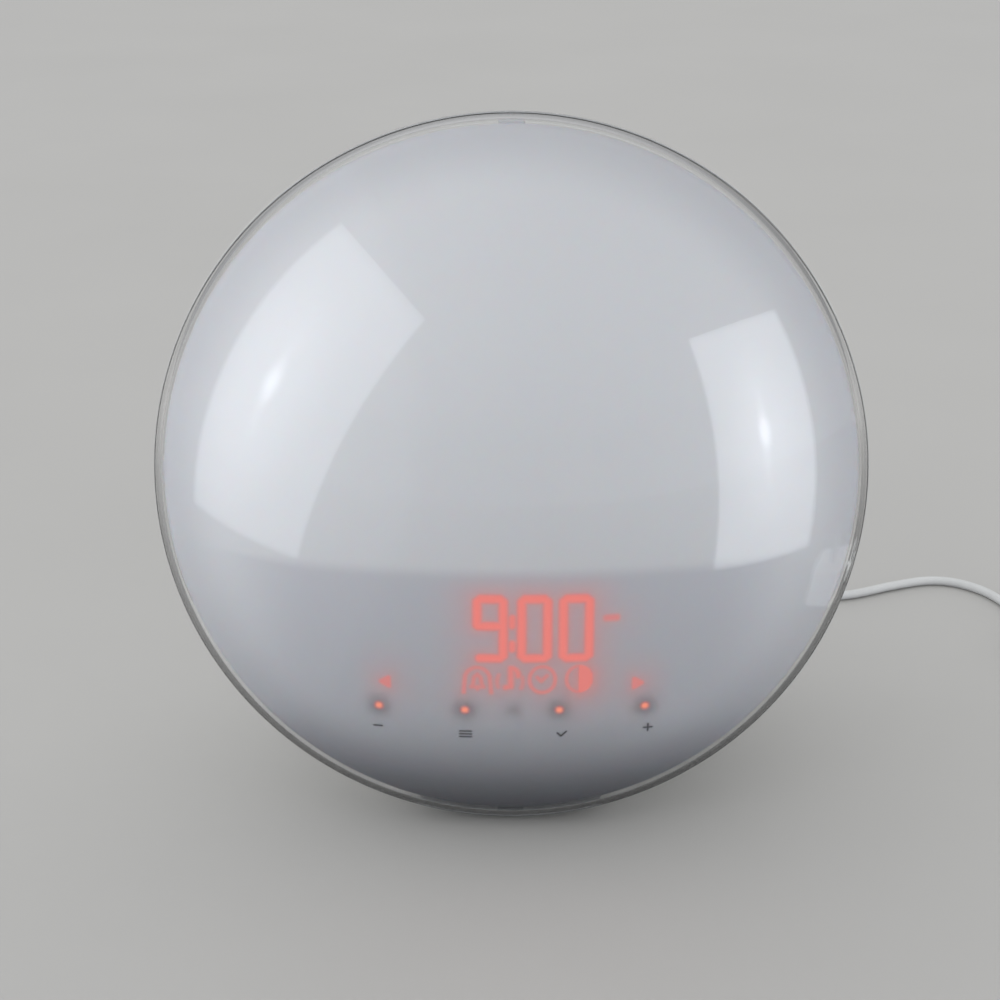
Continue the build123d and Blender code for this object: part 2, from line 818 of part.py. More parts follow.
def display_marks(inset):
    """Outlines of the four digits, the colon, the side mark, the symbols and the arrows."""
    with BuildSketch(DISPLAY) as marks:
        for n in range(4):
            for x, y, length, turn in segment_places():
                with Locations(
                    Location((first_digit + n * digit_pitch + x, digit_rise + y), turn)
                ):
                    add(bar(length - 2 * digit_gap - 2 * inset, digit_stroke - 2 * inset))
        middle = first_digit + 1.5 * digit_pitch
        with Locations((middle, digit_rise + colon_spread), (middle, digit_rise - colon_spread)):
            Circle(colon_radius - inset)
        with Locations(mark_place):
            Rectangle(mark_size[0] - 2 * inset, mark_size[1] - 2 * inset)
        with Locations(*[(x, -icon_drop) for x in icon_row]):
            Circle(icon_radius - inset)
        for side in (-1, 1):
            with Locations((side * arrow_place[0], -arrow_place[1])):
                RegularPolygon(arrow_radius - inset, 3, rotation=90 - side * 90)
    return marks.sketch


def display_box(inset, back):
    """The display housing's outer block, inset all round, from back to beyond the dome."""
    with BuildPart() as made:
        with BuildSketch(FACE.offset(-back)):
            with Locations((0, display_top - display_height / 2)):
                Rectangle(2 * (display_half - inset), display_height - 2 * inset)
        extrude(amount=back + cover_height)
    return made.part


touch_places = [(x, -touch_drop) for x in touch_row]
with BuildPart() as display_housing:
    add(display_box(0, floor_front))
    add(display_box(display_wall, floor_front + overcut), mode=Mode.SUBTRACT)
    with BuildPart(mode=Mode.PRIVATE) as display_front:
        add(display_box(0, floor_front))
        add(chamber(display_gap + display_wall), mode=Mode.SUBTRACT)
    add(display_front.part)
    with BuildSketch(DISPLAY.offset(-display_board_front)):
        with Locations((0, -well_block_drop)):
            Rectangle(*well_block)
    extrude(amount=display_board_front)
    add(chamber(display_gap), mode=Mode.INTERSECT)
    extrude(display_marks(0), amount=display_board_front, both=True, mode=Mode.SUBTRACT)
    with BuildSketch(DISPLAY):
        with Locations(*touch_places):
            Circle(touch_outer + touch_clearance)
        with Locations((sensor_place[0], -sensor_place[1])):
            Circle(sensor_radius + seat_gap)
    extrude(amount=display_board_front, both=True, mode=Mode.SUBTRACT)
keep(display_housing, "display_housing")

with BuildPart() as display_inserts:
    extrude(display_marks(seat_gap), amount=display_board_front, both=True)
    add(chamber(display_gap + seat_gap), mode=Mode.INTERSECT)
    add(chamber(display_gap + insert_thickness), mode=Mode.SUBTRACT)
keep(display_inserts, "display_inserts")

with BuildPart() as display_board:
    with BuildSketch(DISPLAY.offset(-display_board_front)):
        with Locations((0, -display_board_drop)):
            Rectangle(display_board_size[0], display_board_size[1])
    extrude(amount=-display_board_size[2])
keep(display_board, "display_board")

with BuildPart() as display_leds:
    with BuildSketch(DISPLAY.offset(-display_board_front)):
        for n in range(4):
            for x, y, length, turn in segment_places():
                with Locations((first_digit + n * digit_pitch + x, digit_rise + y)):
                    Rectangle(display_led_size[0], display_led_size[1], rotation=turn)
        with Locations(*[(x, -icon_drop) for x in icon_row], mark_place):
            Rectangle(display_led_size[0], display_led_size[1])
        with GridLocations(2 * arrow_place[0], 1, 2, 1):
            with Locations((0, -arrow_place[1])):
                Rectangle(display_led_size[0], display_led_size[1])
    extrude(amount=display_led_size[2])
keep(display_leds, "display_leds")

# ---- Touch keys: a foam ring behind the diffuser at each key, a light pipe in its middle ----
with BuildPart() as touch_pads:
    with BuildSketch(DISPLAY.offset(-display_board_front)):
        with Locations(*touch_places):
            Circle(touch_outer)
            Circle(touch_inner, mode=Mode.SUBTRACT)
    extrude(amount=2 * display_board_front)
    add(chamber(seat_gap), mode=Mode.INTERSECT)
keep(touch_pads, "touch_pads")

with BuildPart() as key_lamps:
    with BuildSketch(DISPLAY.offset(-display_board_front)):
        with Locations(*touch_places):
            Circle(lamp_radius)
    extrude(amount=2 * display_board_front)
    add(chamber(lamp_gap), mode=Mode.INTERSECT)
keep(key_lamps, "key_lamps")

with BuildPart() as light_sensor:
    with BuildSketch(DISPLAY.offset(-display_board_front)):
        with Locations((sensor_place[0], -sensor_place[1])):
            Circle(sensor_radius)
    extrude(amount=2 * display_board_front)
    add(chamber(display_gap), mode=Mode.INTERSECT)
keep(light_sensor, "light_sensor")

# ---- Main board on the reflector's posts, its components and the display's ribbon ----
board_face = FACE.offset(-board_depth)
board_rear = turned(FACE.offset(-board_back))
with BuildPart() as main_board:
    with BuildSketch(board_face):
        with Locations((0, board_centre)):
            Rectangle(2 * board_half, board_top - board_bottom)
        with Locations(*post_places):
            Circle(screw_shank + screw_clearance, mode=Mode.SUBTRACT)
    extrude(amount=-board_thickness)
keep(main_board, "main_board")


def on_board(x, drop):
    """A place on the rear of the main board, given from its middle and its upper edge."""
    return (x, drop - board_top)


def above_board_foot(x, rise):
    """A place on the rear of the main board, given from its middle and its lower edge."""
    return (x, -board_bottom - rise)


with BuildPart() as capacitors:
    for side, inset, rise, radius, height in capacitor_places:
        with BuildSketch(board_rear):
            with Locations(above_board_foot(side * board_half + inset, rise)):
                Circle(radius)
        extrude(amount=height)
keep(capacitors, "capacitors")

with BuildPart() as board_chips:
    for x, drop, width, length, height in chip_places:
        with BuildSketch(board_rear):
            with Locations(on_board(x, drop)):
                Rectangle(width, length)
        extrude(amount=height)
keep(board_chips, "board_chips")

with BuildPart() as clock_backup:
    with BuildSketch(board_rear):
        with Locations(above_board_foot(*backup_place)):
            Circle(backup_size[0])
    extrude(amount=backup_size[1])
    chamfer(clock_backup.edges().filter_by(GeomType.CIRCLE), backup_size[1] / 8)
keep(clock_backup, "clock_backup")

with BuildPart() as board_connectors:
    with BuildSketch(board_rear):
        with Locations(*[on_board(x, connector_drop) for x in connector_row]):
            Rectangle(connector_size[0], connector_size[1])
    extrude(amount=connector_size[2])
keep(board_connectors, "board_connectors")

with BuildPart() as display_ribbon:
    with BuildSketch(FACE.offset(-board_depth)):
        with Locations((0, -ribbon_drop)):
            Rectangle(ribbon_width, ribbon_thickness)
    extrude(amount=board_depth + cover_height)
    split(bisect_by=DISPLAY.offset(-display_board_back), keep=Keep.BOTTOM)
keep(display_ribbon, "display_ribbon")

# ---- Small screws of the boards, the heat sink and the loudspeaker ----
small_screw_planes = [place(FACE, x, y, -board_back) for x, y in post_places]
small_screw_planes += [
    turned(place(led_face, side * led_screw_place, 0, led_board_thickness)) for side in (-1, 1)
]
small_screw_planes += [
    turned(place(SPEAKER, x * speaker_screw_place, y * speaker_screw_place, flange_rear))
    for x in (-1, 1)
    for y in (-1, 1)
]
small_screw_planes += [
    place(side_plane(side), 0, rise * key_post_rise, key_board_place - key_board_thickness)
    for side in (-1, 1)
    for rise in (-1, 1)
]
with BuildPart() as small_screws:
    for plane in small_screw_planes:
        add(small_screw(plane))
keep(small_screws, "small_screws")

with BuildPart() as housing_screws:
    for angle in long_screw_angles:
        x = long_screw_circle * cos(radians(angle))
        y = long_screw_circle * sin(radians(angle))
        add(
            screw(
                place(FACE, x, y, -long_boss_front - long_boss_floor),
                long_screw_shank,
                long_boss_floor + long_screw_bite,
                long_screw_head,
                long_screw_head_height,
            )
        )
keep(housing_screws, "housing_screws")

# ---- Loudspeaker, facing the grille; depths run inwards from the back's inner face ----
with BuildPart() as speaker_gasket:
    with BuildSketch(SPEAKER):
        Circle(basket_mouth + gasket_width)
        Circle(basket_mouth, mode=Mode.SUBTRACT)
    extrude(amount=speaker_standoff)
keep(speaker_gasket, "speaker_gasket")

with BuildPart() as speaker_basket:
    with BuildSketch(SPEAKER.offset(speaker_standoff)):
        RectangleRounded(speaker_flange, speaker_flange, speaker_corner)
        Circle(basket_mouth, mode=Mode.SUBTRACT)
        with GridLocations(2 * speaker_screw_place, 2 * speaker_screw_place, 2, 2):
            Circle(screw_shank + screw_clearance, mode=Mode.SUBTRACT)
    extrude(amount=basket_wall)
    with BuildSketch(SPEAKER_SECTION):
        with BuildLine():
            Polyline(
                (basket_mouth, flange_rear - basket_wall / 2),
                (basket_mouth + basket_wall, flange_rear - basket_wall / 2),
                (basket_floor_radius + basket_wall, basket_depth),
                (basket_floor_radius + basket_wall, basket_depth + basket_wall),
                (coil_radius + coil_wall + coil_gap, basket_depth + basket_wall),
                (coil_radius + coil_wall + coil_gap, basket_depth),
                (basket_floor_radius, basket_depth),
                close=True,
            )
        make_face()
    revolve(axis=SPEAKER_AXIS)
keep(speaker_basket, "speaker_basket")

magnet_front = basket_depth + basket_wall
with BuildPart() as speaker_magnet:
    add(
        ring(
            SPEAKER_SECTION,
            SPEAKER_AXIS,
            coil_radius + coil_wall + 2 * coil_gap,
            magnet_radius,
            magnet_front,
            magnet_front + magnet_depth,
        )
    )
    magnet_back = magnet_front + magnet_depth
    add(ring(SPEAKER_SECTION, SPEAKER_AXIS, 0, magnet_radius, magnet_back, magnet_back + pole_plate))
    pole = coil_radius - coil_gap
    add(ring(SPEAKER_SECTION, SPEAKER_AXIS, 0, pole, basket_depth, magnet_back + pole_plate / 2))
keep(speaker_magnet, "speaker_magnet")

cone_edge = basket_mouth - surround_width
cone_rim = cone_edge - seat_gap
cone_front = speaker_standoff
cone_back = cone_front + cone_depth
with BuildPart() as speaker_cone:
    with BuildSketch(SPEAKER_SECTION):
        with BuildLine():
            Polyline(
                (cone_rim, cone_front),
                (cone_rim, cone_front + cone_thickness),
                (coil_radius + coil_wall, cone_back + cone_thickness),
                (coil_radius + coil_wall, cone_back + coil_length),
                (coil_radius, cone_back + coil_length),
                (coil_radius, cone_back),
                close=True,
            )
        make_face()
    revolve(axis=SPEAKER_AXIS)
keep(speaker_cone, "speaker_cone")

with BuildPart() as voice_coil:
    winding_end = cone_back + coil_length
    winding_inner = coil_radius + coil_wall
    add(
        ring(
            SPEAKER_SECTION,
            SPEAKER_AXIS,
            winding_inner,
            winding_inner + winding_wall,
            winding_end - winding_length,
            winding_end,
        )
    )
keep(voice_coil, "voice_coil")

with BuildPart() as dust_cap:
    cap_base = cone_back - cone_depth * (cap_radius - coil_radius) / (cone_rim - coil_radius)
    with BuildSketch(SPEAKER_SECTION):
        with BuildLine():
            outer_cap = ThreePointArc(
                (-cap_radius, cap_base), (0, cap_base - cap_rise), (cap_radius, cap_base)
            )
            inner_cap = ThreePointArc(
                (-cap_radius + cone_thickness, cap_base),
                (0, cap_base - cap_rise + cone_thickness),
                (cap_radius - cone_thickness, cap_base),
            )
            Line(outer_cap @ 0, inner_cap @ 0)
            Line(outer_cap @ 1, inner_cap @ 1)
        make_face()
        with Locations((-cap_radius, cap_base)):
            Rectangle(2 * cap_radius, 3 * cap_rise, mode=Mode.SUBTRACT)
    revolve(axis=SPEAKER_AXIS)
keep(dust_cap, "dust_cap")

with BuildPart() as speaker_surround:
    bead = surround_width / 2
    with BuildSketch(SPEAKER_SECTION):
        with Locations((cone_edge + bead, cone_front + surround_thickness)):
            Circle(bead)
            Circle(bead - surround_thickness, mode=Mode.SUBTRACT)
        with Locations((cone_edge + bead, cone_front + surround_thickness + bead)):
            Rectangle(4 * bead, 2 * bead, mode=Mode.SUBTRACT)
    revolve(axis=SPEAKER_AXIS)
keep(speaker_surround, "speaker_surround")

# ---- Side keys: cap, flange and stub in one piece, each over its own switch ----
stub_end = key_board_place + switch_size[1] + plunger_proud


def side_key(side, rise):
    """One key, which slides in through the drum's wall."""
    plane = side_plane(side)
    with BuildPart() as key:
        with BuildSketch(plane.offset(key_board_place)):
            with Locations((0, rise)):
                RectangleRounded(key_length, key_width, key_corner)
        extrude(amount=drum_inset + housing_wall + drum_radius - key_board_place)
        add(drum_core(drum_radius + key_proud), mode=Mode.INTERSECT)
        flange_face = drum_radius - housing_wall - running_gap
        with BuildPart(mode=Mode.PRIVATE) as flange:
            with BuildSketch(plane.offset(key_board_place)):
                with Locations((0, rise)):
                    RectangleRounded(
                        key_length + 2 * key_flange,
                        key_width + 2 * key_flange,
                        key_corner + key_flange,
                    )
            extrude(amount=drum_inset + drum_radius - key_board_place)
            add(drum_core(flange_face), mode=Mode.INTERSECT)
        add(flange.part)
        add(drum_core(flange_face - key_flange_thickness), mode=Mode.SUBTRACT)
        with BuildSketch(plane.offset(stub_end)):
            with Locations((0, rise)):
                Circle(key_stub_radius)
        extrude(amount=flange_face - stub_end - key_flange_thickness / 2 - stub_sink)
    return key


def plunger(side, rise):
    """The moving button of one switch."""
    with BuildPart() as made:
        with BuildSketch(side_plane(side).offset(stub_end)):
            with Locations((0, rise)):
                Circle(plunger_radius)
        extrude(amount=-plunger_proud - plunger_depth)
    return made


side_keys = {
    "alarm_one": (-1, key_rise),
    "alarm_two": (-1, -key_rise),
    "light": (1, key_rise),
    "sound": (1, -key_rise),
}
for key_name, (side, rise) in side_keys.items():
    keep(side_key(side, rise), f"{key_name}_key")
    keep(plunger(side, rise), f"{key_name}_plunger")

with BuildPart() as key_boards:
    for side in (-1, 1):
        with BuildSketch(side_plane(side).offset(key_board_place)):
            Rectangle(key_board_width, key_board_length)
            with Locations((0, key_post_rise), (0, -key_post_rise)):
                Circle(screw_shank + screw_clearance, mode=Mode.SUBTRACT)
        extrude(amount=-key_board_thickness)
keep(key_boards, "key_boards")

with BuildPart() as key_switches:
    for side in (-1, 1):
        with BuildSketch(side_plane(side).offset(key_board_place)):
            with Locations((0, key_rise), (0, -key_rise)):
                Rectangle(switch_size[0], switch_size[0])
        extrude(amount=switch_size[1])
        bore_depth = plunger_depth + key_travel + running_gap
        with BuildSketch(side_plane(side).offset(key_board_place + switch_size[1])):
            with Locations((0, key_rise), (0, -key_rise)):
                Circle(plunger_radius + running_gap)
        extrude(amount=-bore_depth, mode=Mode.SUBTRACT)
keep(key_switches, "key_switches")

# ---- Supply socket ----
jack_face = place(jack_plane, 0, 0, -housing_wall)
with BuildPart() as supply_socket:
    with BuildSketch(jack_plane):
        Circle(jack_flange[0])
    extrude(amount=jack_flange[1])
    with BuildSketch(jack_plane):
        Circle(jack_radius)
    extrude(amount=jack_length)
    with BuildSketch(jack_face):
        Circle(jack_neck)
    extrude(amount=housing_wall)
    with BuildSketch(jack_face):
        Circle(jack_bore)
    extrude(amount=jack_bore_depth, mode=Mode.SUBTRACT)
    with BuildSketch(jack_face.offset(running_gap)):
        Circle(jack_pin)
    extrude(amount=jack_bore_depth)
keep(supply_socket, "supply_socket")

# ---- Plug of the cord, pushed home in the socket ----
with BuildPart() as supply_plug:
    with BuildSketch(jack_face):
        Circle(jack_bore - seat_gap)
        Circle(jack_pin + seat_gap, mode=Mode.SUBTRACT)
    extrude(amount=barrel_length)
    with BuildSketch(jack_face):
        Circle(plug_grip_radius)
    extrude(amount=-plug_grip_length)
    fillet(supply_plug.faces().sort_by(Axis.Y)[-1].edges(), plug_grip_round)
keep(supply_plug, "supply_plug")


def relief(plane, length):
    """A tapered strain relief with three grooves that starts on a plane."""
    with BuildPart() as made:
        with BuildSketch(plane):
            Circle(relief_thick)
        with BuildSketch(plane.offset(length)):
            Circle(relief_thin)
        loft()
        for n in range(1, relief_grooves + 1):
            station = plane.offset(n * length / (relief_grooves + 1))
            with BuildSketch(station):
                Circle(relief_thick + overcut)
                Circle(relief_core, mode=Mode.SUBTRACT)
            extrude(amount=relief_groove, mode=Mode.SUBTRACT)
    return made


plug_end = place(turned(jack_face), 0, 0, plug_grip_length)
keep(relief(plug_end, relief_length), "plug_relief")

# ---- Mains adapter: shell, cover and pins, lying with the pins up ----
adapter_plane = Plane(origin=(adapter_place[0], adapter_place[1], 0))
with BuildPart() as adapter_body:
    with BuildSketch(adapter_plane):
        RectangleRounded(adapter_size[0], adapter_size[1], adapter_corner)
    extrude(amount=adapter_size[2])
    fillet(adapter_body.edges().group_by(Axis.Z)[0], adapter_edge)
keep(adapter_body, "adapter_body")

with BuildPart() as adapter_cover_plate:
    with BuildSketch(adapter_plane.offset(adapter_size[2])):
        RectangleRounded(adapter_size[0], adapter_size[1], adapter_corner)
    extrude(amount=adapter_cover)
    fillet(adapter_cover_plate.edges().group_by(Axis.Z)[-1], adapter_edge)
keep(adapter_cover_plate, "adapter_cover")

with BuildPart() as adapter_pins:
    with BuildSketch(adapter_plane.offset(adapter_size[2] + adapter_cover)):
        with Locations((0, pin_inset - adapter_size[1] / 2)):
            with GridLocations(pin_spacing, 1, 2, 1):
                Circle(pin_radius)
    extrude(amount=pin_length)
    chamfer(adapter_pins.edges().group_by(Axis.Z)[-1], pin_radius / 2)
keep(adapter_pins, "adapter_pins")

adapter_end = Plane(
    origin=(adapter_place[0] + adapter_exit_shift, adapter_place[1] + adapter_size[1] / 2, adapter_exit),
    x_dir=(-1, 0, 0),
    z_dir=(0, 1, 0),
)
keep(relief(adapter_end, adapter_relief_length), "adapter_relief")

# ---- Cord: from the plug over the table to a tied coil, and from the coil to the adapter ----
cord_z = cord_diameter / 2 + cord_lift
lead_start = plug_end.offset(relief_length).origin
tail_end = adapter_end.offset(adapter_relief_length).origin
lead_route = [
    tuple(lead_start),
    (34, 93, 24),
    (36.5, 106, 17.5),
    (44, 115, 8),
    (57, 121, cord_z),
    (77, 120, cord_z),
    (94, 112, cord_z),
    (111, 111, cord_z),
    (128, 120, cord_z),
    (145, 126, cord_z),
    (159, 117, cord_z),
    (166, 101, cord_z),
    (166.5, 84, cord_z),
    (165.7, 70, cord_z),
]
tail_route = [
    (188, 51.7, cord_z),
    (202.3, 49.6, cord_z),
    (211, 37.5, 2.4),
    (212, 28, 4.5),
    tuple(tail_end),
]


def cord_tube(route):
    """A tube of the cord's thickness along a route, with arcs as large as its runs allow."""
    points = [Vector(*point) for point in route]
    runs = [b - a for a, b in zip(points, points[1:])]
    radii = [
        0.45 * min(a.length, b.length) / tan(radians(a.get_angle(b) / 2))
        for a, b in zip(runs, runs[1:])
    ]
    with BuildPart() as tube:
        with BuildLine() as path:
            FilletPolyline(*points, radius=radii)
        with BuildSketch(Plane(origin=path.line @ 0, z_dir=path.line % 0)):
            Circle(cord_diameter / 2)
        sweep()
    length = sum(edge.length for edge in path.edges())
    straight = pi * (cord_diameter / 2) ** 2 * length
    print("radii", [round(radius, 1) for radius in radii], "length", round(length, 1))
    print("volume over section times length", round(tube.part.volume / straight, 4))
    return tube


keep(cord_tube(lead_route), "cord_lead")
keep(cord_tube(tail_route), "cord_tail")

coil_plane = Plane(origin=(coil_place[0], coil_place[1], 0))
COIL_SECTION = Plane(origin=coil_plane.origin, x_dir=(1, 0, 0), z_dir=(0, -1, 0))
with BuildPart() as cord_coil:
    with BuildSketch(COIL_SECTION):
        with Locations(((wound_inner + wound_outer) / 2, tie_thickness + wound_height / 2)):
            RectangleRounded(wound_outer - wound_inner, wound_height, cord_diameter)
    revolve(axis=Axis(coil_plane.origin, (0, 0, 1)))
keep(cord_coil, "cord_coil")

with BuildPart() as coil_tie:
    turn = radians(tie_angle)
    tie_middle = (wound_inner + wound_outer) / 2
    tie_plane = Plane(
        origin=(
            coil_place[0] + tie_middle * cos(turn),
            coil_place[1] + tie_middle * sin(turn),
            tie_thickness + wound_height / 2,
        ),
        x_dir=(cos(turn), sin(turn), 0),
        z_dir=(sin(turn), -cos(turn), 0),
    )
    with BuildSketch(tie_plane):
        RectangleRounded(
            wound_outer - wound_inner + 2 * tie_thickness + 2 * seat_gap,
            wound_height + 2 * tie_thickness,
            cord_diameter,
        )
    extrude(amount=tie_width / 2, both=True)
    with BuildPart(mode=Mode.PRIVATE) as wound:
        with BuildSketch(COIL_SECTION):
            with Locations(((wound_inner + wound_outer) / 2, tie_thickness + wound_height / 2)):
                RectangleRounded(
                    wound_outer - wound_inner + 2 * seat_gap, wound_height, cord_diameter
                )
        revolve(axis=Axis(coil_plane.origin, (0, 0, 1)))
    add(wound.part, mode=Mode.SUBTRACT)
keep(coil_tie, "coil_tie")
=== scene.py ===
"""The looks of a sunrise alarm clock.

A clear domed front over a milky diffuser, a glowing display, a rear housing with side keys, a cord and an
adapter, in a plain studio.
"""
import logging
import math
from dataclasses import dataclass, field
from enum import Enum
from functools import partial
from typing import Callable, Iterable, Sequence

import bmesh
import bpy
import numpy as np
from mathutils import Matrix, Vector


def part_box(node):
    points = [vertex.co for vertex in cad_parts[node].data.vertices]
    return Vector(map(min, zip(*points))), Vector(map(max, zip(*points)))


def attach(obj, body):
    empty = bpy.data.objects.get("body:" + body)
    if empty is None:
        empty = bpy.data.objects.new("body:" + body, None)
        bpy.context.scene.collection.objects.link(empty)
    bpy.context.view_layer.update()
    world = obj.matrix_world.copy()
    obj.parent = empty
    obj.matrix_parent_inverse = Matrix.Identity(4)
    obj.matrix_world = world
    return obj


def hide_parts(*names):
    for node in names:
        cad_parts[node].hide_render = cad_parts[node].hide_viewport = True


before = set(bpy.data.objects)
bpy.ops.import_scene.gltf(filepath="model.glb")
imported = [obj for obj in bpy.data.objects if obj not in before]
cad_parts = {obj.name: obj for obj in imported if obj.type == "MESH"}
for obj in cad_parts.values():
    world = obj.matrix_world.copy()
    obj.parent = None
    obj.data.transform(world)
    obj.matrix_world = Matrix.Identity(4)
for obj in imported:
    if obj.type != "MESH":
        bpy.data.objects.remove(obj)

logging.basicConfig(level=logging.INFO, format="%(message)s")
log = logging.getLogger("sunrise_alarm_clock")

MM = 0.001
# Points nearer than this, in metres, become one.
WELD = 1e-6
# How a Map Range node eases in and out between its ends.
SMOOTH = "SMOOTHSTEP"
# The Mix node numbers its sockets: these take two numbers, and those take two colours.
NUMBER_A, NUMBER_B = 2, 3
COLOUR_A, COLOUR_B, COLOUR_MIXED = 6, 7, 2
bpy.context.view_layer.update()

Tones = tuple[str, str]
Span = tuple[float, float]
Point = tuple[float, float, float]


# ---- Small helpers ----
def linear(colour: str) -> tuple[float, float, float, float]:
    """Turns an sRGB hex colour into linear light.

    Args:
        colour: Six hex digits.

    Returns:
        Red, green, blue and an alpha of 1.
    """
    parts = [int(colour[i:i + 2], 16) / 255 for i in (0, 2, 4)]
    light = [c / 12.92 if c <= 0.04045 else ((c + 0.055) / 1.055) ** 2.4 for c in parts]
    return (*light, 1.0)


def add_node(
    tree: bpy.types.NodeTree, kind: str, inputs: dict | None = None, **settings: object
) -> bpy.types.Node:
    """Adds a node with its settings, values and links.

    Args:
        tree: The node tree that gets it.
        kind: The node's type name.
        inputs: Input name or index to a value, or to the output socket that feeds it.
        settings: Attributes of the node itself.

    Returns:
        The new node.
    """
    node = tree.nodes.new(kind)
    for name, value in settings.items():
        setattr(node, name, value)
    for key, value in (inputs or {}).items():
        socket = node.inputs[key]
        if isinstance(value, bpy.types.NodeSocket):
            tree.links.new(value, socket)
        else:
            socket.default_value = value
    return node


def new_piece(name: str, mesh: bpy.types.Mesh, *materials: bpy.types.Material) -> bpy.types.Object:
    """Links a mesh into the scene as a piece.

    Args:
        name: The piece's name.
        mesh: Its finished mesh, in metres and in place.
        materials: What it is made of, in slot order.

    Returns:
        The new object.
    """
    mesh.name = name
    for material in materials:
        mesh.materials.append(material)
    piece = bpy.data.objects.new(name, mesh)
    bpy.context.scene.collection.objects.link(piece)
    return piece


def baked(piece: bpy.types.Object, place: Matrix) -> bpy.types.Object:
    """Turns a piece with a live node modifier into a plain mesh piece.

    Args:
        piece: The object whose modifiers are applied and removed.
        place: Where its finished mesh is set down.

    Returns:
        The same object, with its place in its mesh.
    """
    graph = bpy.context.evaluated_depsgraph_get()
    mesh = bpy.data.meshes.new_from_object(piece.evaluated_get(graph))
    piece.modifiers.clear()
    # The unfinished mesh had no material, which leaves an empty slot before the tree's own.
    if mesh.materials[0] is None:
        mesh.materials.pop(index=0)
        mesh.polygons.foreach_set("material_index", [0] * len(mesh.polygons))
    mesh.transform(place)
    mesh.name = piece.name
    piece.data = mesh
    return piece


class NodeTree:
    """A geometry node tree that is built once and used by several pieces."""

    def __init__(self, name: str, **values: str) -> None:
        """Starts a tree with a geometry input and output and its named inputs.

        Args:
            name: The tree's name.
            values: Input name to a socket type such as NodeSocketFloat.
        """
        self.tree = bpy.data.node_groups.new(name, "GeometryNodeTree")
        for way in ("INPUT", "OUTPUT"):
            self.tree.interface.new_socket("Geometry", in_out=way, socket_type="NodeSocketGeometry")
        for value, kind in values.items():
            self.tree.interface.new_socket(value, in_out="INPUT", socket_type=kind)
        self.given = self.tree.nodes.new("NodeGroupInput").outputs

    def add(self, kind: str, inputs: dict | None = None, **settings: object) -> bpy.types.Node:
        """Adds a node to this tree."""
        return add_node(self.tree, kind, inputs, **settings)

    def crisp(self, geometry: bpy.types.NodeSocket) -> bpy.types.NodeSocket:
        """Welds a mesh and shades it smoothly, but for the folds sharper than the input Sharp.

        Args:
            geometry: The mesh.

        Returns:
            The welded and shaded mesh.
        """
        welded = self.add("GeometryNodeMergeByDistance", {"Geometry": geometry, "Distance": WELD})
        smooth = self.add("GeometryNodeSetShadeSmooth", {"Geometry": welded.outputs[0], "Shade Smooth": True})
        fold = self.add("GeometryNodeInputMeshEdgeAngle")
        soft = self.add(
            "FunctionNodeCompare", {0: fold.outputs[0], 1: self.given["Sharp"]}, operation="LESS_THAN"
        )
        edged = self.add(
            "GeometryNodeSetShadeSmooth",
            {"Geometry": smooth.outputs[0], "Shade Smooth": soft.outputs[0]},
            domain="EDGE",
        )
        return edged.outputs[0]

    def use(self, piece: bpy.types.Object, values: dict[str, object]) -> None:
        """Puts the tree on a piece as a modifier.

        Args:
            piece: The object that gets it.
            values: Input name to value.
        """
        modifier = piece.modifiers.new(self.tree.name, "NODES")
        modifier.node_group = self.tree
        sockets = {
            item.name: item.identifier
            for item in self.tree.interface.items_tree
            if item.item_type == "SOCKET" and item.in_out == "INPUT"
        }
        for name, value in values.items():
            modifier[sockets[name]] = value


# ---- Finishes ----
class Surface:
    """A material with its node tree and its one Principled shader."""

    def __init__(self, name: str) -> None:
        """Starts a material.

        Args:
            name: The material's name.
        """
        self.material = bpy.data.materials.new(name)
        self.material.use_nodes = True
        self.tree = self.material.node_tree
        self.shader = next(n for n in self.tree.nodes if n.type == "BSDF_PRINCIPLED")
        self.output = next(n for n in self.tree.nodes if n.type == "OUTPUT_MATERIAL")

    def add(self, kind: str, inputs: dict | None = None, **settings: object) -> bpy.types.Node:
        """Adds a node to the material."""
        return add_node(self.tree, kind, inputs, **settings)

    def set(self, **values: object) -> None:
        """Sets or links the Principled shader's inputs.

        Args:
            values: Input name, with an underscore for a space, to a value or an output socket.
        """
        for name, value in values.items():
            socket = self.shader.inputs[name.replace("_", " ")]
            if isinstance(value, bpy.types.NodeSocket):
                self.tree.links.new(value, socket)
            else:
                socket.default_value = value

    def show(self, shader: bpy.types.Node) -> None:
        """Shows a shader in place of the Principled one alone."""
        self.tree.links.new(shader.outputs[0], self.output.inputs["Surface"])


@dataclass(frozen=True)
class Clouds:
    """Two close tones in soft clouds, which keep a wide face from looking like one flat colour.

    The clouds' size is in millimetres.
    """

    dark: str
    light: str
    size: float
    detail: float = 2.0
    crumble: float = 0.5

    def lay(self, made: Surface, roughness: Span | None = None) -> None:
        """Gives a surface its tones, and a roughness that follows them.

        Args:
            made: The surface.
            roughness: Its roughness in the dark and in the light clouds, where it isn't the same.
        """
        place = made.add("ShaderNodeTexCoord")
        noise = {"Scale": 1 / (self.size * MM), "Detail": self.detail, "Roughness": self.crumble}
        cloud = made.add("ShaderNodeTexNoise", {"Vector": place.outputs["Object"], **noise}).outputs["Fac"]
        tones = {"Factor": cloud, COLOUR_A: linear(self.dark), COLOUR_B: linear(self.light)}
        made.set(Base_Color=made.add("ShaderNodeMix", tones, data_type="RGBA").outputs[COLOUR_MIXED])
        if roughness:
            spread = {"Value": cloud, "To Min": roughness[0], "To Max": roughness[1]}
            made.set(Roughness=made.add("ShaderNodeMapRange", spread).outputs["Result"])


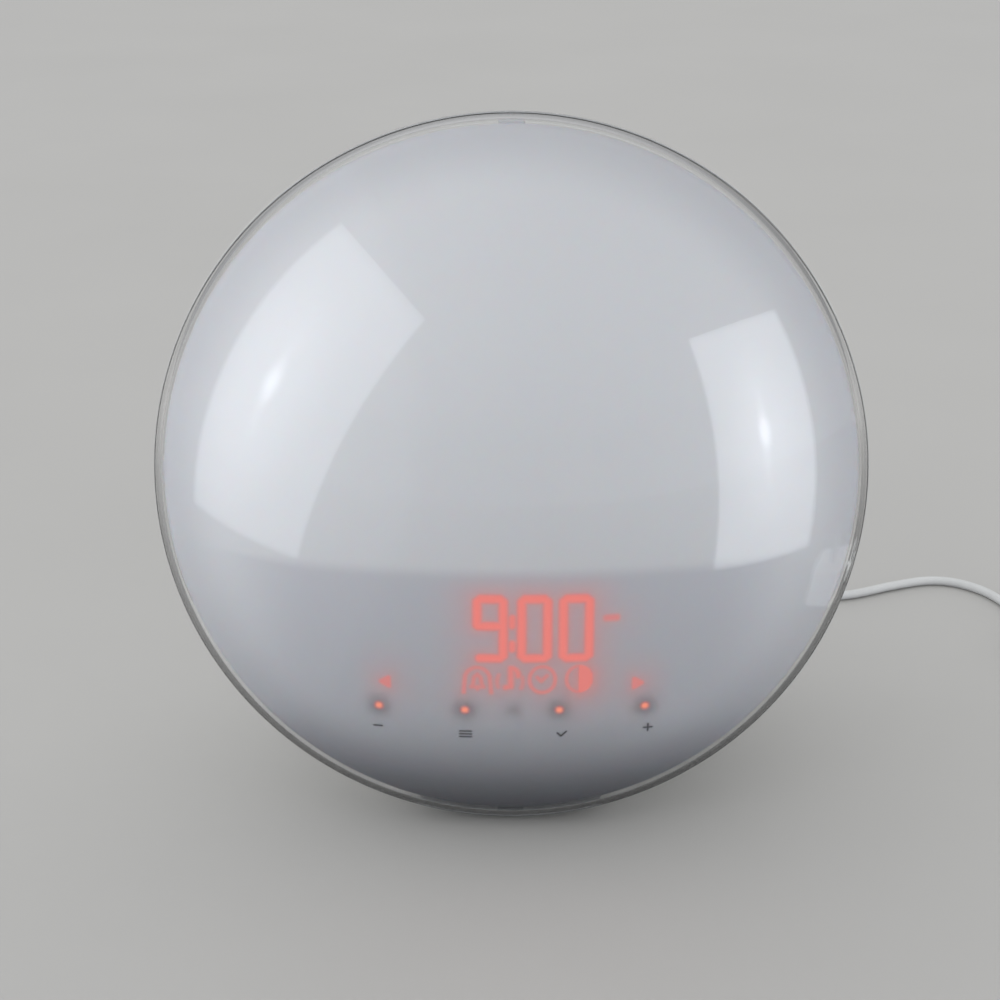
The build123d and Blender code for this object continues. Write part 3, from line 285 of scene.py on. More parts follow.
@dataclass(frozen=True)
class Grain:
    """A fine relief, which breaks up the edge of a highlight. Lengths in millimetres."""

    size: float
    depth: float
    detail: float = 1.0
    strength: float = 0.6

    def press(self, made: Surface) -> None:
        """Gives a surface its relief.

        Args:
            made: The surface.
        """
        place = made.add("ShaderNodeTexCoord")
        noise = {"Scale": 1 / (self.size * MM), "Detail": self.detail}
        grain = made.add("ShaderNodeTexNoise", {"Vector": place.outputs["Object"], **noise})
        relief = {"Height": grain.outputs["Fac"], "Distance": self.depth * MM, "Strength": self.strength}
        made.set(Normal=made.add("ShaderNodeBump", relief).outputs["Normal"])


@dataclass(frozen=True)
class MouldedPlastic:
    """Injection-moulded plastic: its spark-eroded mould leaves a fine, even grain and a soft sheen.

    The real grain is about 0.05 mm wide, too fine to show, so it is drawn coarser. Lengths in millimetres.
    """

    name: str
    dark: str
    light: str
    roughness: float = 0.42
    grain: float = 0.45
    grain_depth: float = 0.012
    cloud: float = 26.0
    spread: Span = (-0.04, 0.05)
    ior: float = 1.5

    def build(self) -> bpy.types.Material:
        """Makes the material.

        Returns:
            The finished material.
        """
        made = Surface(self.name)
        low, high = self.spread
        clouds = Clouds(self.dark, self.light, self.cloud, detail=3.0)
        clouds.lay(made, (self.roughness + low, self.roughness + high))
        Grain(self.grain, self.grain_depth).press(made)
        made.set(IOR=self.ior)
        return made.material


@dataclass(frozen=True)
class Rubber:
    """Moulded rubber, foam or soft PVC: dull, with a faint bloom where hands and dust have been.

    Its pores are about 0.1 mm wide, and are drawn coarser, because they would be too fine to show.
    """

    name: str
    dark: str
    light: str
    roughness: float = 0.6
    bloom: float = 6.0
    spread: Span = (-0.08, 0.08)
    pores: Grain = Grain(size=0.5, depth=0.01, detail=2.0, strength=0.5)
    ior: float = 1.5
    shine: float = 0.35

    def build(self) -> bpy.types.Material:
        """Makes the material.

        Returns:
            The finished material.
        """
        made = Surface(self.name)
        low, high = self.spread
        bloom = Clouds(self.dark, self.light, self.bloom, detail=4.0, crumble=0.6)
        bloom.lay(made, (self.roughness + low, self.roughness + high))
        self.pores.press(made)
        made.set(IOR=self.ior, Specular_IOR_Level=self.shine)
        return made.material


@dataclass(frozen=True)
class Metal:
    """Plated or bare metal: the tool marks or plating give its highlight a slight haze."""

    name: str
    dark: str
    light: str
    roughness: float = 0.3
    haze: float = 3.0
    spread: Span = (-0.06, 0.08)

    def build(self) -> bpy.types.Material:
        """Makes the material.

        Returns:
            The finished material.
        """
        made = Surface(self.name)
        low, high = self.spread
        haze = Clouds(self.dark, self.light, self.haze, detail=4.0, crumble=0.6)
        haze.lay(made, (self.roughness + low, self.roughness + high))
        made.set(Metallic=1.0)
        return made.material


@dataclass(frozen=True)
class ClearAcrylic:
    """Clear injection-moulded acrylic, polished in the mould.

    It gives two crisp reflections, one from each face, and fine dust dulls the outer one here and there.
    Dust is finer than 0.1 mm, and its specks are drawn as coarse as they need to show.
    """

    name: str = "clear_moulded_acrylic"
    tint: str = "fafafa"
    shadow_tint: str = "f7f7f7"
    ior: float = 1.49
    speck: float = 0.9
    dusty_from: Span = (0.6, 0.8)
    roughness: Span = (0.015, 0.035)

    def build(self) -> bpy.types.Material:
        """Makes the material, which lets the lamps' light through to what is behind it.

        Returns:
            The finished material.
        """
        made = Surface(self.name)
        place = made.add("ShaderNodeTexCoord")
        specks = {"Scale": 1 / (self.speck * MM), "Detail": 3.0, "Roughness": 0.7}
        dust = made.add("ShaderNodeTexNoise", {"Vector": place.outputs["Object"], **specks})
        start, full = self.dusty_from
        clean, dusty = self.roughness
        dulled = made.add(
            "ShaderNodeMapRange",
            {
                "Value": dust.outputs["Fac"],
                "From Min": start,
                "From Max": full,
                "To Min": clean,
                "To Max": dusty,
            },
        )
        made.set(
            Base_Color=linear(self.tint),
            Transmission_Weight=1.0,
            IOR=self.ior,
            Roughness=dulled.outputs["Result"],
        )
        path = made.add("ShaderNodeLightPath")
        through = made.add("ShaderNodeBsdfTransparent", {"Color": linear(self.shadow_tint)})
        shares = {0: path.outputs["Is Shadow Ray"], 1: made.shader.outputs[0], 2: through.outputs[0]}
        made.show(made.add("ShaderNodeMixShader", shares))
        return made.material


@dataclass(frozen=True)
class GroundAcrylic:
    """The clear cover's lip, ground flat after moulding: its fine scratches make it pale and let it glow.

    The scratches are finer than 0.1 mm, so their clouds are drawn coarser.
    """

    name: str = "ground_acrylic_lip"
    scratches: Clouds = Clouds("e4e7e9", "eff1f2", size=0.4, detail=3.0)
    roughness: float = 0.5
    through: float = 0.35
    ior: float = 1.49

    def build(self) -> bpy.types.Material:
        """Makes the material.

        Returns:
            The finished material.
        """
        made = Surface(self.name)
        self.scratches.lay(made)
        made.set(Transmission_Weight=self.through, IOR=self.ior, Roughness=self.roughness)
        return made.material


@dataclass(frozen=True)
class PaintedFloor:
    """Pale emulsion paint, rolled on: dull, with faint clouds where the roller's strips overlapped.

    In front of the object it lets rays that were mirrored once pass, so that the mirrored softboxes show
    where they reach below it. Lengths in millimetres.
    """

    name: str = "pale_painted_floor"
    strips: Clouds = Clouds("b0afac", "b5b4b1", size=120.0, detail=3.0)
    roughness: float = 0.7
    solid_behind: float = 500.0
    open_before: float = -300.0

    def build(self) -> bpy.types.Material:
        """Makes the material.

        Returns:
            The finished material.
        """
        made = Surface(self.name)
        self.strips.lay(made)
        made.set(Roughness=self.roughness)
        place = made.add("ShaderNodeTexCoord")
        parts = made.add("ShaderNodeSeparateXYZ", {0: place.outputs["Object"]})
        fade = {"From Min": self.solid_behind * MM, "From Max": self.open_before * MM}
        ahead = made.add(
            "ShaderNodeMapRange", {"Value": parts.outputs["Y"], **fade}, interpolation_type=SMOOTH
        )
        path = made.add("ShaderNodeLightPath")
        mirrored_once = made.add(
            "ShaderNodeMath", {0: path.outputs["Glossy Depth"], 1: 1.0, 2: 0.5}, operation="COMPARE"
        )
        gone = made.add(
            "ShaderNodeMath", {0: ahead.outputs[0], 1: mirrored_once.outputs[0]}, operation="MULTIPLY"
        )
        clear = made.add("ShaderNodeBsdfTransparent")
        shares = {0: gone.outputs[0], 1: made.shader.outputs[0], 2: clear.outputs[0]}
        made.show(made.add("ShaderNodeMixShader", shares))
        return made.material


# ---- The leaning face's own frame ----
@dataclass(frozen=True)
class Face:
    """The face's frame, in millimetres: X runs to the right, Y up the face and Z out of it.

    Its origin is the rim's centre.
    """

    lean_deg: float = 12.0
    skirt: float = 9.0

    @property
    def radius(self) -> float:
        """The clear front's outside radius."""
        low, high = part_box("front_cover")
        return (high[0] - low[0]) / 2 / MM

    @property
    def matrix(self) -> Matrix:
        """From the face's frame in metres to the object's frame.

        Returns:
            The matrix that carries a place on the face to its place in the room.
        """
        low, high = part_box("front_cover")
        lean = math.radians(self.lean_deg)
        rim, skirt = self.radius * MM, self.skirt * MM
        centre = Vector(
            (
                (low[0] + high[0]) / 2,
                high[1] - rim * math.sin(lean) - skirt * math.cos(lean),
                low[2] + rim * math.cos(lean) + skirt * math.sin(lean),
            )
        )
        return Matrix.Translation(centre) @ Matrix.Rotation(math.pi / 2 - lean, 4, "X")

    def placed(self, x: np.ndarray, y: np.ndarray, z: np.ndarray) -> np.ndarray:
        """Carries places on the face to the object's frame.

        Args:
            x: Millimetres to the right.
            y: Millimetres up the face.
            z: Millimetres out of it.

        Returns:
            A row of three metres for each place.
        """
        points = np.stack([x, y, z, np.full(x.shape, 1 / MM)], axis=1)
        return (points * MM) @ np.array(self.matrix).T[:, :3]


@dataclass(frozen=True)
class DomeForm:
    """A dome with a rolled edge and a straight skirt, in millimetres."""

    radius: float = 95.0
    height: float = 42.0
    edge: float = 9.0
    crown_steps: int = 48
    edge_steps: int = 14

    @property
    def crown(self) -> float:
        """Radius of the crown that runs smoothly into the rolled edge."""
        flat = self.radius - self.edge
        return (flat**2 + self.height**2 - self.edge**2) / (2 * (self.height - self.edge))

    def inset(self, depth: float) -> "DomeForm":
        """The dome that lies that far inside this one."""
        return DomeForm(self.radius - depth, self.height - depth, self.edge - depth)

    def level(self, x: np.ndarray, y: np.ndarray) -> np.ndarray:
        """How far the crown stands out of the rim plane at places on the face."""
        return self.height - self.crown + np.sqrt(self.crown**2 - x * x - y * y)

    def profile(self, drop: float) -> list[tuple[float, float]]:
        """Points from the crown's middle down to the skirt's end.

        Args:
            drop: How far the skirt runs behind the rim plane.

        Returns:
            Radius and level of each point.
        """
        turn = math.asin((self.radius - self.edge) / (self.crown - self.edge))
        centre = self.height - self.crown
        arc = [turn * n / self.crown_steps for n in range(self.crown_steps + 1)]
        points = [(self.crown * math.sin(a), centre + self.crown * math.cos(a)) for a in arc]
        for n in range(1, self.edge_steps + 1):
            a = turn + (math.pi / 2 - turn) * n / self.edge_steps
            points.append((self.radius - self.edge + self.edge * math.sin(a), self.edge * math.cos(a)))
        points.append((self.radius, -drop))
        return points


def lathe_tree() -> NodeTree:
    """Builds the tree that turns a profile into a round shell.

    The profile's points carry their radius in X and their level in Z. A grid takes one column of
    points for each step round the axis, and its seam and poles are closed.

    Returns:
        The tree, with inputs Rings, Steps, Sharp and Material.
    """
    made = NodeTree(
        "lathe",
        Rings="NodeSocketInt",
        Steps="NodeSocketInt",
        Sharp="NodeSocketFloat",
        Material="NodeSocketMaterial",
    )
    rings, steps = made.given["Rings"], made.given["Steps"]
    columns = made.add("ShaderNodeMath", {0: steps, 1: 1.0}, operation="ADD")
    grid = made.add("GeometryNodeMeshGrid", {"Vertices X": columns.outputs[0], "Vertices Y": rings})
    index = made.add("GeometryNodeInputIndex")
    ring = made.add("ShaderNodeMath", {0: index.outputs[0], 1: rings}, operation="MODULO")
    column = made.add("ShaderNodeMath", {0: index.outputs[0], 1: rings}, operation="DIVIDE")
    whole = made.add("ShaderNodeMath", {0: column.outputs[0]}, operation="FLOOR")
    share = made.add("ShaderNodeMath", {0: whole.outputs[0], 1: steps}, operation="DIVIDE")
    angle = made.add("ShaderNodeMath", {0: share.outputs[0], 1: 2 * math.pi}, operation="MULTIPLY")
    position = made.add("GeometryNodeInputPosition")
    profile = made.add(
        "GeometryNodeSampleIndex",
        {"Geometry": made.given["Geometry"], "Value": position.outputs[0], "Index": ring.outputs[0]},
        data_type="FLOAT_VECTOR",
    )
    turned = made.add(
        "ShaderNodeVectorRotate",
        {"Vector": profile.outputs[0], "Angle": angle.outputs[0]},
        rotation_type="Z_AXIS",
    )
    shell = made.add(
        "GeometryNodeSetPosition", {"Geometry": grid.outputs["Mesh"], "Position": turned.outputs[0]}
    )
    outward = made.add("GeometryNodeFlipFaces", {"Mesh": shell.outputs[0]})
    real = made.add("GeometryNodeRealizeInstances", {"Geometry": made.crisp(outward.outputs[0])})
    dressed = made.add(
        "GeometryNodeSetMaterial", {"Geometry": real.outputs[0], "Material": made.given["Material"]}
    )
    made.add("NodeGroupOutput", {0: dressed.outputs[0]})
    return made


def soft_shading_tree() -> NodeTree:
    """Builds the tree that shades a construction part smoothly across its curved faces.

    Returns:
        The tree, with the input Sharp for the largest angle that still looks round.
    """
    made = NodeTree("soft_shading", Sharp="NodeSocketFloat")
    made.add("NodeGroupOutput", {0: made.crisp(made.given["Geometry"])})
    return made


@dataclass
class Workshop:
    """The trees that several pieces share. The angles are the largest that still look round."""

    lathe: NodeTree = field(default_factory=lathe_tree)
    shading: NodeTree = field(default_factory=soft_shading_tree)
    steps: int = 256
    shell_sharp_deg: float = 35.0
    part_sharp_deg: float = 30.0

    def turned_shell(
        self,
        name: str,
        profile: Sequence[tuple[float, float]],
        material: bpy.types.Material,
        place: Matrix,
    ) -> bpy.types.Object:
        """Turns a profile into a closed round piece.

        Args:
            name: The piece's name.
            profile: Radius and level of each point, in millimetres, from pole to pole.
            material: What it is made of.
            place: Where the axis and the level of zero lie.

        Returns:
            The finished piece.
        """
        mesh = bpy.data.meshes.new(name)
        points = [(r * MM, 0.0, z * MM) for r, z in profile]
        mesh.from_pydata(points, [(n, n + 1) for n in range(len(points) - 1)], [])
        piece = new_piece(name, mesh)
        sizes = {"Rings": len(points), "Steps": self.steps, "Sharp": math.radians(self.shell_sharp_deg)}
        self.lathe.use(piece, {**sizes, "Material": material})
        return baked(piece, place)

    def finish_node(self, node: str, material: bpy.types.Material) -> bpy.types.Object:
        """Gives a construction part its material and smooth shading.

        Args:
            node: The part's node.
            material: What it is made of.

        Returns:
            The part.
        """
        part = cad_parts[node]
        part.data.materials.clear()
        part.data.materials.append(material)
        self.shading.use(part, {"Sharp": math.radians(self.part_sharp_deg)})
        return part


# ---- Studio ----
@dataclass
class Studio:
    """Camera, lights and floor. Lengths in millimetres, angles in degrees.

    A softbox is three of its corners in a row, and the softboxes' reaches are shares of their sides.
    """

    focal: float = 80.0
    sensor: float = 36.0
    distance: float = 591.5
    elevation: float = 22.0
    aim_down: float = 0.696
    aim_left: float = 0.307
    floor_size: float = 60000.0
    softbox_left: tuple[Point, Point, Point] = ((-473, -124, 745), (-290, -528, 647), (-703, -576, -186))
    softbox_right: tuple[Point, Point, Point] = ((522, -451, 555), (788, -180, 515), (870, -225, -196))
    cloth_tint: str = "f4f8ff"
    left_glow: float = 3.1
    right_glow: float = 4.35
    left_hot: Span = (0.62, 0.47)
    right_hot: Span = (0.53, 0.47)
    hot_reach: float = 0.5
    hot_rise: float = 0.62
    bulb_reach: float = 0.09
    bulb_rise: float = 1.4
    streak_reach: float = 0.3
    streak_rise: float = 0.4
    streak_stretch: Point = (5.0, 1.0, 1.0)
    seam_at: float = 0.47
    seam_share: float = 0.62
    lighting_share: float = 0.43
    room_tint: str = "fcfdff"
    room_glow: float = 1.26
    right_loss: float = 0.18
    low_right_loss: float = 0.8
    zenith_share: float = 0.8
    low_share: float = 0.55
    nadir_share: float = 0.05
    nadir_to_low: Span = (-0.8, -0.02)
    mirrored_loss: Span = (0.74, 0.3)
    mirrored_from: float = 0.25
    backdrop_tint: str = "fffffc"
    backdrop_glow: float = 0.491
    lamps: list[bpy.types.Object] = field(default_factory=list)

    def camera(self, face: Face) -> None:
        """Sets the camera up.

        Args:
            face: The face that it looks at.
        """
        data = bpy.data.cameras.new("camera")
        data.lens, data.sensor_width = self.focal, self.sensor
        camera = bpy.data.objects.new("camera", data)
        rise = math.radians(self.elevation)
        away = Vector((0, -math.cos(rise), math.sin(rise))) * self.distance * MM
        camera.location = face.matrix.translation + away
        pitch = math.radians(90 - self.elevation - self.aim_down)
        camera.rotation_euler = (pitch, 0, math.radians(self.aim_left))
        bpy.context.scene.collection.objects.link(camera)
        bpy.context.scene.camera = camera

    def cloth(self, tree: bpy.types.NodeTree, hot: Span) -> bpy.types.NodeSocket:
        """Lays out how a softbox's cloth glows: most before its bulb, and least along its seam.

        Args:
            tree: The light's node tree.
            hot: The bulb's place in shares of the cloth's sides.

        Returns:
            The glow, which is 1 on the plain cloth.
        """
        place = add_node(tree, "ShaderNodeNewGeometry").outputs["Parametric"]
        bulb = (*hot, 0)
        far = add_node(tree, "ShaderNodeVectorMath", {0: place, 1: bulb}, operation="DISTANCE")
        shift = [-share * stretch for share, stretch in zip(bulb, self.streak_stretch)]
        stretched = add_node(
            tree,
            "ShaderNodeVectorMath",
            {0: place, 1: self.streak_stretch, 2: shift},
            operation="MULTIPLY_ADD",
        )
        off_tube = add_node(tree, "ShaderNodeVectorMath", {0: stretched.outputs[0]}, operation="LENGTH")
        glow = 1.0
        for away, reach, rise in (
            (far, self.hot_reach, self.hot_rise),
            (far, self.bulb_reach, self.bulb_rise),
            (off_tube, self.streak_reach, self.streak_rise),
        ):
            swell = add_node(
                tree,
                "ShaderNodeMapRange",
                {"Value": away.outputs["Value"], "From Min": reach, "From Max": 0.0, "To Max": rise},
                interpolation_type=SMOOTH,
            )
            brighter = add_node(tree, "ShaderNodeMath", {0: glow, 1: swell.outputs[0]}, operation="ADD")
            glow = brighter.outputs[0]
        sides = add_node(tree, "ShaderNodeSeparateXYZ", {0: place})
        for side in sides.outputs[:2]:
            off_middle = add_node(tree, "ShaderNodeMath", {0: side, 1: 0.5}, operation="SUBTRACT")
            aside = add_node(tree, "ShaderNodeMath", {0: off_middle.outputs[0]}, operation="ABSOLUTE")
            dimming = {"From Min": 0.5, "From Max": self.seam_at, "To Min": self.seam_share}
            seam = add_node(
                tree, "ShaderNodeMapRange", {"Value": aside.outputs[0], **dimming}, interpolation_type=SMOOTH
            )
            dimmed = add_node(tree, "ShaderNodeMath", {0: glow, 1: seam.outputs[0]}, operation="MULTIPLY")
            glow = dimmed.outputs[0]
        return glow

    def softbox(self, name: str, corners: tuple[Point, Point, Point], glow: float, hot: Span) -> None:
        """Hangs a softbox, which lights the object less than it shows in it.

        Args:
            name: The light's name.
            corners: Three corners in a row.
            glow: How bright its plain cloth looks.
            hot: The bulb's place in shares of its sides.
        """
        first, middle, last = (Vector(corner) * MM for corner in corners)
        across, down = first - middle, last - middle
        data = bpy.data.lights.new(name, "AREA")
        data.shape = "RECTANGLE"
        data.size, data.size_y = across.length, down.length
        data.energy = glow * across.length * down.length * math.pi
        data.use_nodes = True
        tree = data.node_tree
        path = add_node(tree, "ShaderNodeLightPath")
        seen = add_node(
            tree,
            "ShaderNodeMapRange",
            {"Value": path.outputs["Is Glossy Ray"], "To Min": self.lighting_share},
        )
        shown = add_node(
            tree, "ShaderNodeMath", {0: self.cloth(tree, hot), 1: seen.outputs[0]}, operation="MULTIPLY"
        )
        emission = next(node for node in tree.nodes if node.type == "EMISSION")
        tree.links.new(shown.outputs[0], emission.inputs["Strength"])
        emission.inputs["Color"].default_value = linear(self.cloth_tint)
        lamp = bpy.data.objects.new(name, data)
        centre = (first + last) / 2
        x, y = across.normalized(), down.normalized()
        z = x.cross(y)
        # A lamp shines along its own minus Z, so that side is turned to the object.
        if z.dot(centre) < 0:
            x, z = -x, -z
        lamp.visible_camera = False
        lamp.matrix_world = Matrix.Translation(centre) @ Matrix((x, y, z)).transposed().to_4x4()
        bpy.context.scene.collection.objects.link(lamp)
        self.lamps.append(lamp)

    def room(self) -> None:
        """Lights the room softly from all round, less from below and from the right.

        The room mirrors darker than it lights, and what the camera sees of it is one plain tone.
        """
        world = bpy.data.worlds.new("room")
        world.use_nodes = True
        tree = world.node_tree
        back = tree.nodes["Background"]
        path = add_node(tree, "ShaderNodeLightPath")
        seen, in_mirror = path.outputs["Is Camera Ray"], path.outputs["Is Glossy Ray"]
        tints = {COLOUR_A: linear(self.room_tint), COLOUR_B: linear(self.backdrop_tint)}
        tint = add_node(tree, "ShaderNodeMix", {"Factor": seen, **tints}, data_type="RGBA")
        tree.links.new(tint.outputs[COLOUR_MIXED], back.inputs["Color"])
        place = add_node(tree, "ShaderNodeTexCoord")
        parts = add_node(tree, "ShaderNodeSeparateXYZ", {0: place.outputs["Generated"]})
        rise = parts.outputs["Z"]
        above = add_node(
            tree, "ShaderNodeMapRange", {"Value": rise, "To Min": 1.0, "To Max": self.zenith_share}
        )
        nadir, low = self.nadir_to_low
        dusk = {"From Min": nadir, "From Max": low, "To Min": self.nadir_share, "To Max": self.low_share}
        below = add_node(tree, "ShaderNodeMapRange", {"Value": rise, **dusk})
        side = add_node(tree, "ShaderNodeMath", {0: rise, 1: 0.0}, operation="GREATER_THAN")
        halves = {NUMBER_A: below.outputs[0], NUMBER_B: above.outputs[0]}
        round_about = add_node(tree, "ShaderNodeMix", {"Factor": side.outputs[0], **halves})
        level, top = self.mirrored_loss
        losses = {"From Min": self.mirrored_from, "From Max": 1.0, "To Min": -level, "To Max": -top}
        loss = add_node(tree, "ShaderNodeMapRange", {"Value": rise, **losses})
        mirrored = add_node(
            tree, "ShaderNodeMath", {0: in_mirror, 1: loss.outputs[0], 2: 1.0}, operation="MULTIPLY_ADD"
        )
        glow = add_node(
            tree, "ShaderNodeMath", {0: round_about.outputs[0], 1: mirrored.outputs[0]}, operation="MULTIPLY"
        )
        asides = {
            NUMBER_A: -self.low_right_loss * self.room_glow,
            NUMBER_B: -self.right_loss * self.room_glow,
        }
        loss_aside = add_node(tree, "ShaderNodeMix", {"Factor": side.outputs[0], **asides})
        across = add_node(
            tree,
            "ShaderNodeMath",
            {0: parts.outputs["X"], 1: loss_aside.outputs[0], 2: self.room_glow},
            operation="MULTIPLY_ADD",
        )
        lighting = add_node(
            tree, "ShaderNodeMath", {0: glow.outputs[0], 1: across.outputs[0]}, operation="MULTIPLY"
        )
        strengths = {NUMBER_A: lighting.outputs[0], NUMBER_B: self.backdrop_glow}
        strength = add_node(tree, "ShaderNodeMix", {"Factor": seen, **strengths})
        tree.links.new(strength.outputs[0], back.inputs["Strength"])
        bpy.context.scene.world = world

    def floor(self) -> None:
        """Lays the pale floor, which the softboxes don't light."""
        half = self.floor_size * MM / 2
        mesh = bpy.data.meshes.new("floor")
        corners = [(-half, -half, 0), (half, -half, 0), (half, half, 0), (-half, half, 0)]
        mesh.from_pydata(corners, [], [(0, 1, 2, 3)])
        floor = new_piece("floor", mesh, PaintedFloor().build())
        floor.visible_diffuse = floor.visible_shadow = False
        unlit = bpy.data.collections.new("not_lit_by_softboxes")
        unlit.objects.link(floor)
        unlit.collection_objects[0].light_linking.link_state = "EXCLUDE"
        for lamp in self.lamps:
            lamp.light_linking.receiver_collection = unlit

    def build(self, face: Face) -> None:
        """Sets up the whole studio.

        Args:
            face: The face that it is set round.
        """
        self.camera(face)
        self.softbox("softbox_left", self.softbox_left, self.left_glow, self.left_hot)
        self.softbox("softbox_right", self.softbox_right, self.right_glow, self.right_hot)
        self.room()
        self.floor()
        bpy.context.scene.view_settings.view_transform = "Standard"
        log.info("studio: camera, %d softboxes, floor", len(self.lamps))


# ---- Clear front and milky diffuser ----
@dataclass(frozen=True)
class MilkyAcrylic:
    """Milky acrylic, moulded with a white filler.

    The filler scatters light just under its skin, so that it looks soft and even. Its colour is painted with
    shade: a little darker below the shelf, where the display's black housing close behind it sends less light
    back, darker towards its edge, and most of all low down, where little light comes back from the table.
    Lengths in millimetres on the face.
    """

    face: Face
    shelf_level: float = -19.0
    shelf_half: float = 62.0
    shelf_blur: float = 2.2
    shelf_end: Span = (-12.0, 24.0)
    # Painted shade: these tones darken the milky white below the shelf, low down and towards the edge.
    shelf_painted_shade: Tones = ("e8e8ec", "ffffff")
    low: Span = (-96.0, -56.0)
    low_painted_shade: Tones = ("616367", "d3d4d6")
    edge: Span = (92.0, 74.0)
    edge_painted_shade: Tones = ("e8e8ea", "ffffff")
    name: str = "milky_moulded_acrylic"
    roughness: float = 0.5
    ior: float = 1.49
    scatter: float = 0.25
    scatter_depth: float = 2.0

    def build(self) -> bpy.types.Material:
        """Makes the material.

        Returns:
            The finished material.
        """
        made = Surface(self.name)
        place = made.add("ShaderNodeTexCoord")
        lean = math.radians(90 - self.face.lean_deg)
        seat = {"Location": self.face.matrix.translation, "Rotation": (lean, 0, 0)}
        local = made.add(
            "ShaderNodeMapping", {"Vector": place.outputs["Object"], **seat}, vector_type="TEXTURE"
        )
        parts = made.add("ShaderNodeSeparateXYZ", {"Vector": local.outputs[0]})
        up = parts.outputs["Y"]
        beside = made.add("ShaderNodeMath", {0: parts.outputs["X"]}, operation="ABSOLUTE").outputs[0]
        flat = made.add("ShaderNodeVectorMath", {0: local.outputs[0], 1: (1, 1, 0)}, operation="MULTIPLY")
        out = made.add("ShaderNodeVectorMath", {0: flat.outputs[0]}, operation="LENGTH").outputs["Value"]
        above, aside, lit, inward = (
            made.add(
                "ShaderNodeMapRange",
                {"Value": value, "From Min": start * MM, "From Max": end * MM},
                interpolation_type=SMOOTH,
            ).outputs[0]
            for value, (start, end) in (
                (up, (self.shelf_level - self.shelf_blur, self.shelf_level + self.shelf_blur)),
                (beside, [self.shelf_half + reach for reach in self.shelf_end]),
                (up, self.low),
                (out, self.edge),
            )
        )
        clear = made.add("ShaderNodeMath", {0: above, 1: aside}, operation="MAXIMUM").outputs[0]
        # Painted shade is multiplied into the colour: low down, towards the edge and below the shelf.
        colour = linear("ffffff")
        for share, (dark, light) in (
            (lit, self.low_painted_shade),
            (inward, self.edge_painted_shade),
            (clear, self.shelf_painted_shade),
        ):
            tones = {"Factor": share, COLOUR_A: linear(dark), COLOUR_B: linear(light)}
            shade = made.add("ShaderNodeMix", tones, data_type="RGBA").outputs[COLOUR_MIXED]
            colour = made.add(
                "ShaderNodeMix",
                {"Factor": 1.0, COLOUR_A: colour, COLOUR_B: shade},
                data_type="RGBA",
                blend_type="MULTIPLY",
            ).outputs[COLOUR_MIXED]
        made.set(
            Base_Color=colour,
            Roughness=self.roughness,
            IOR=self.ior,
            Subsurface_Weight=self.scatter,
            Subsurface_Scale=self.scatter_depth * MM,
        )
        return made.material


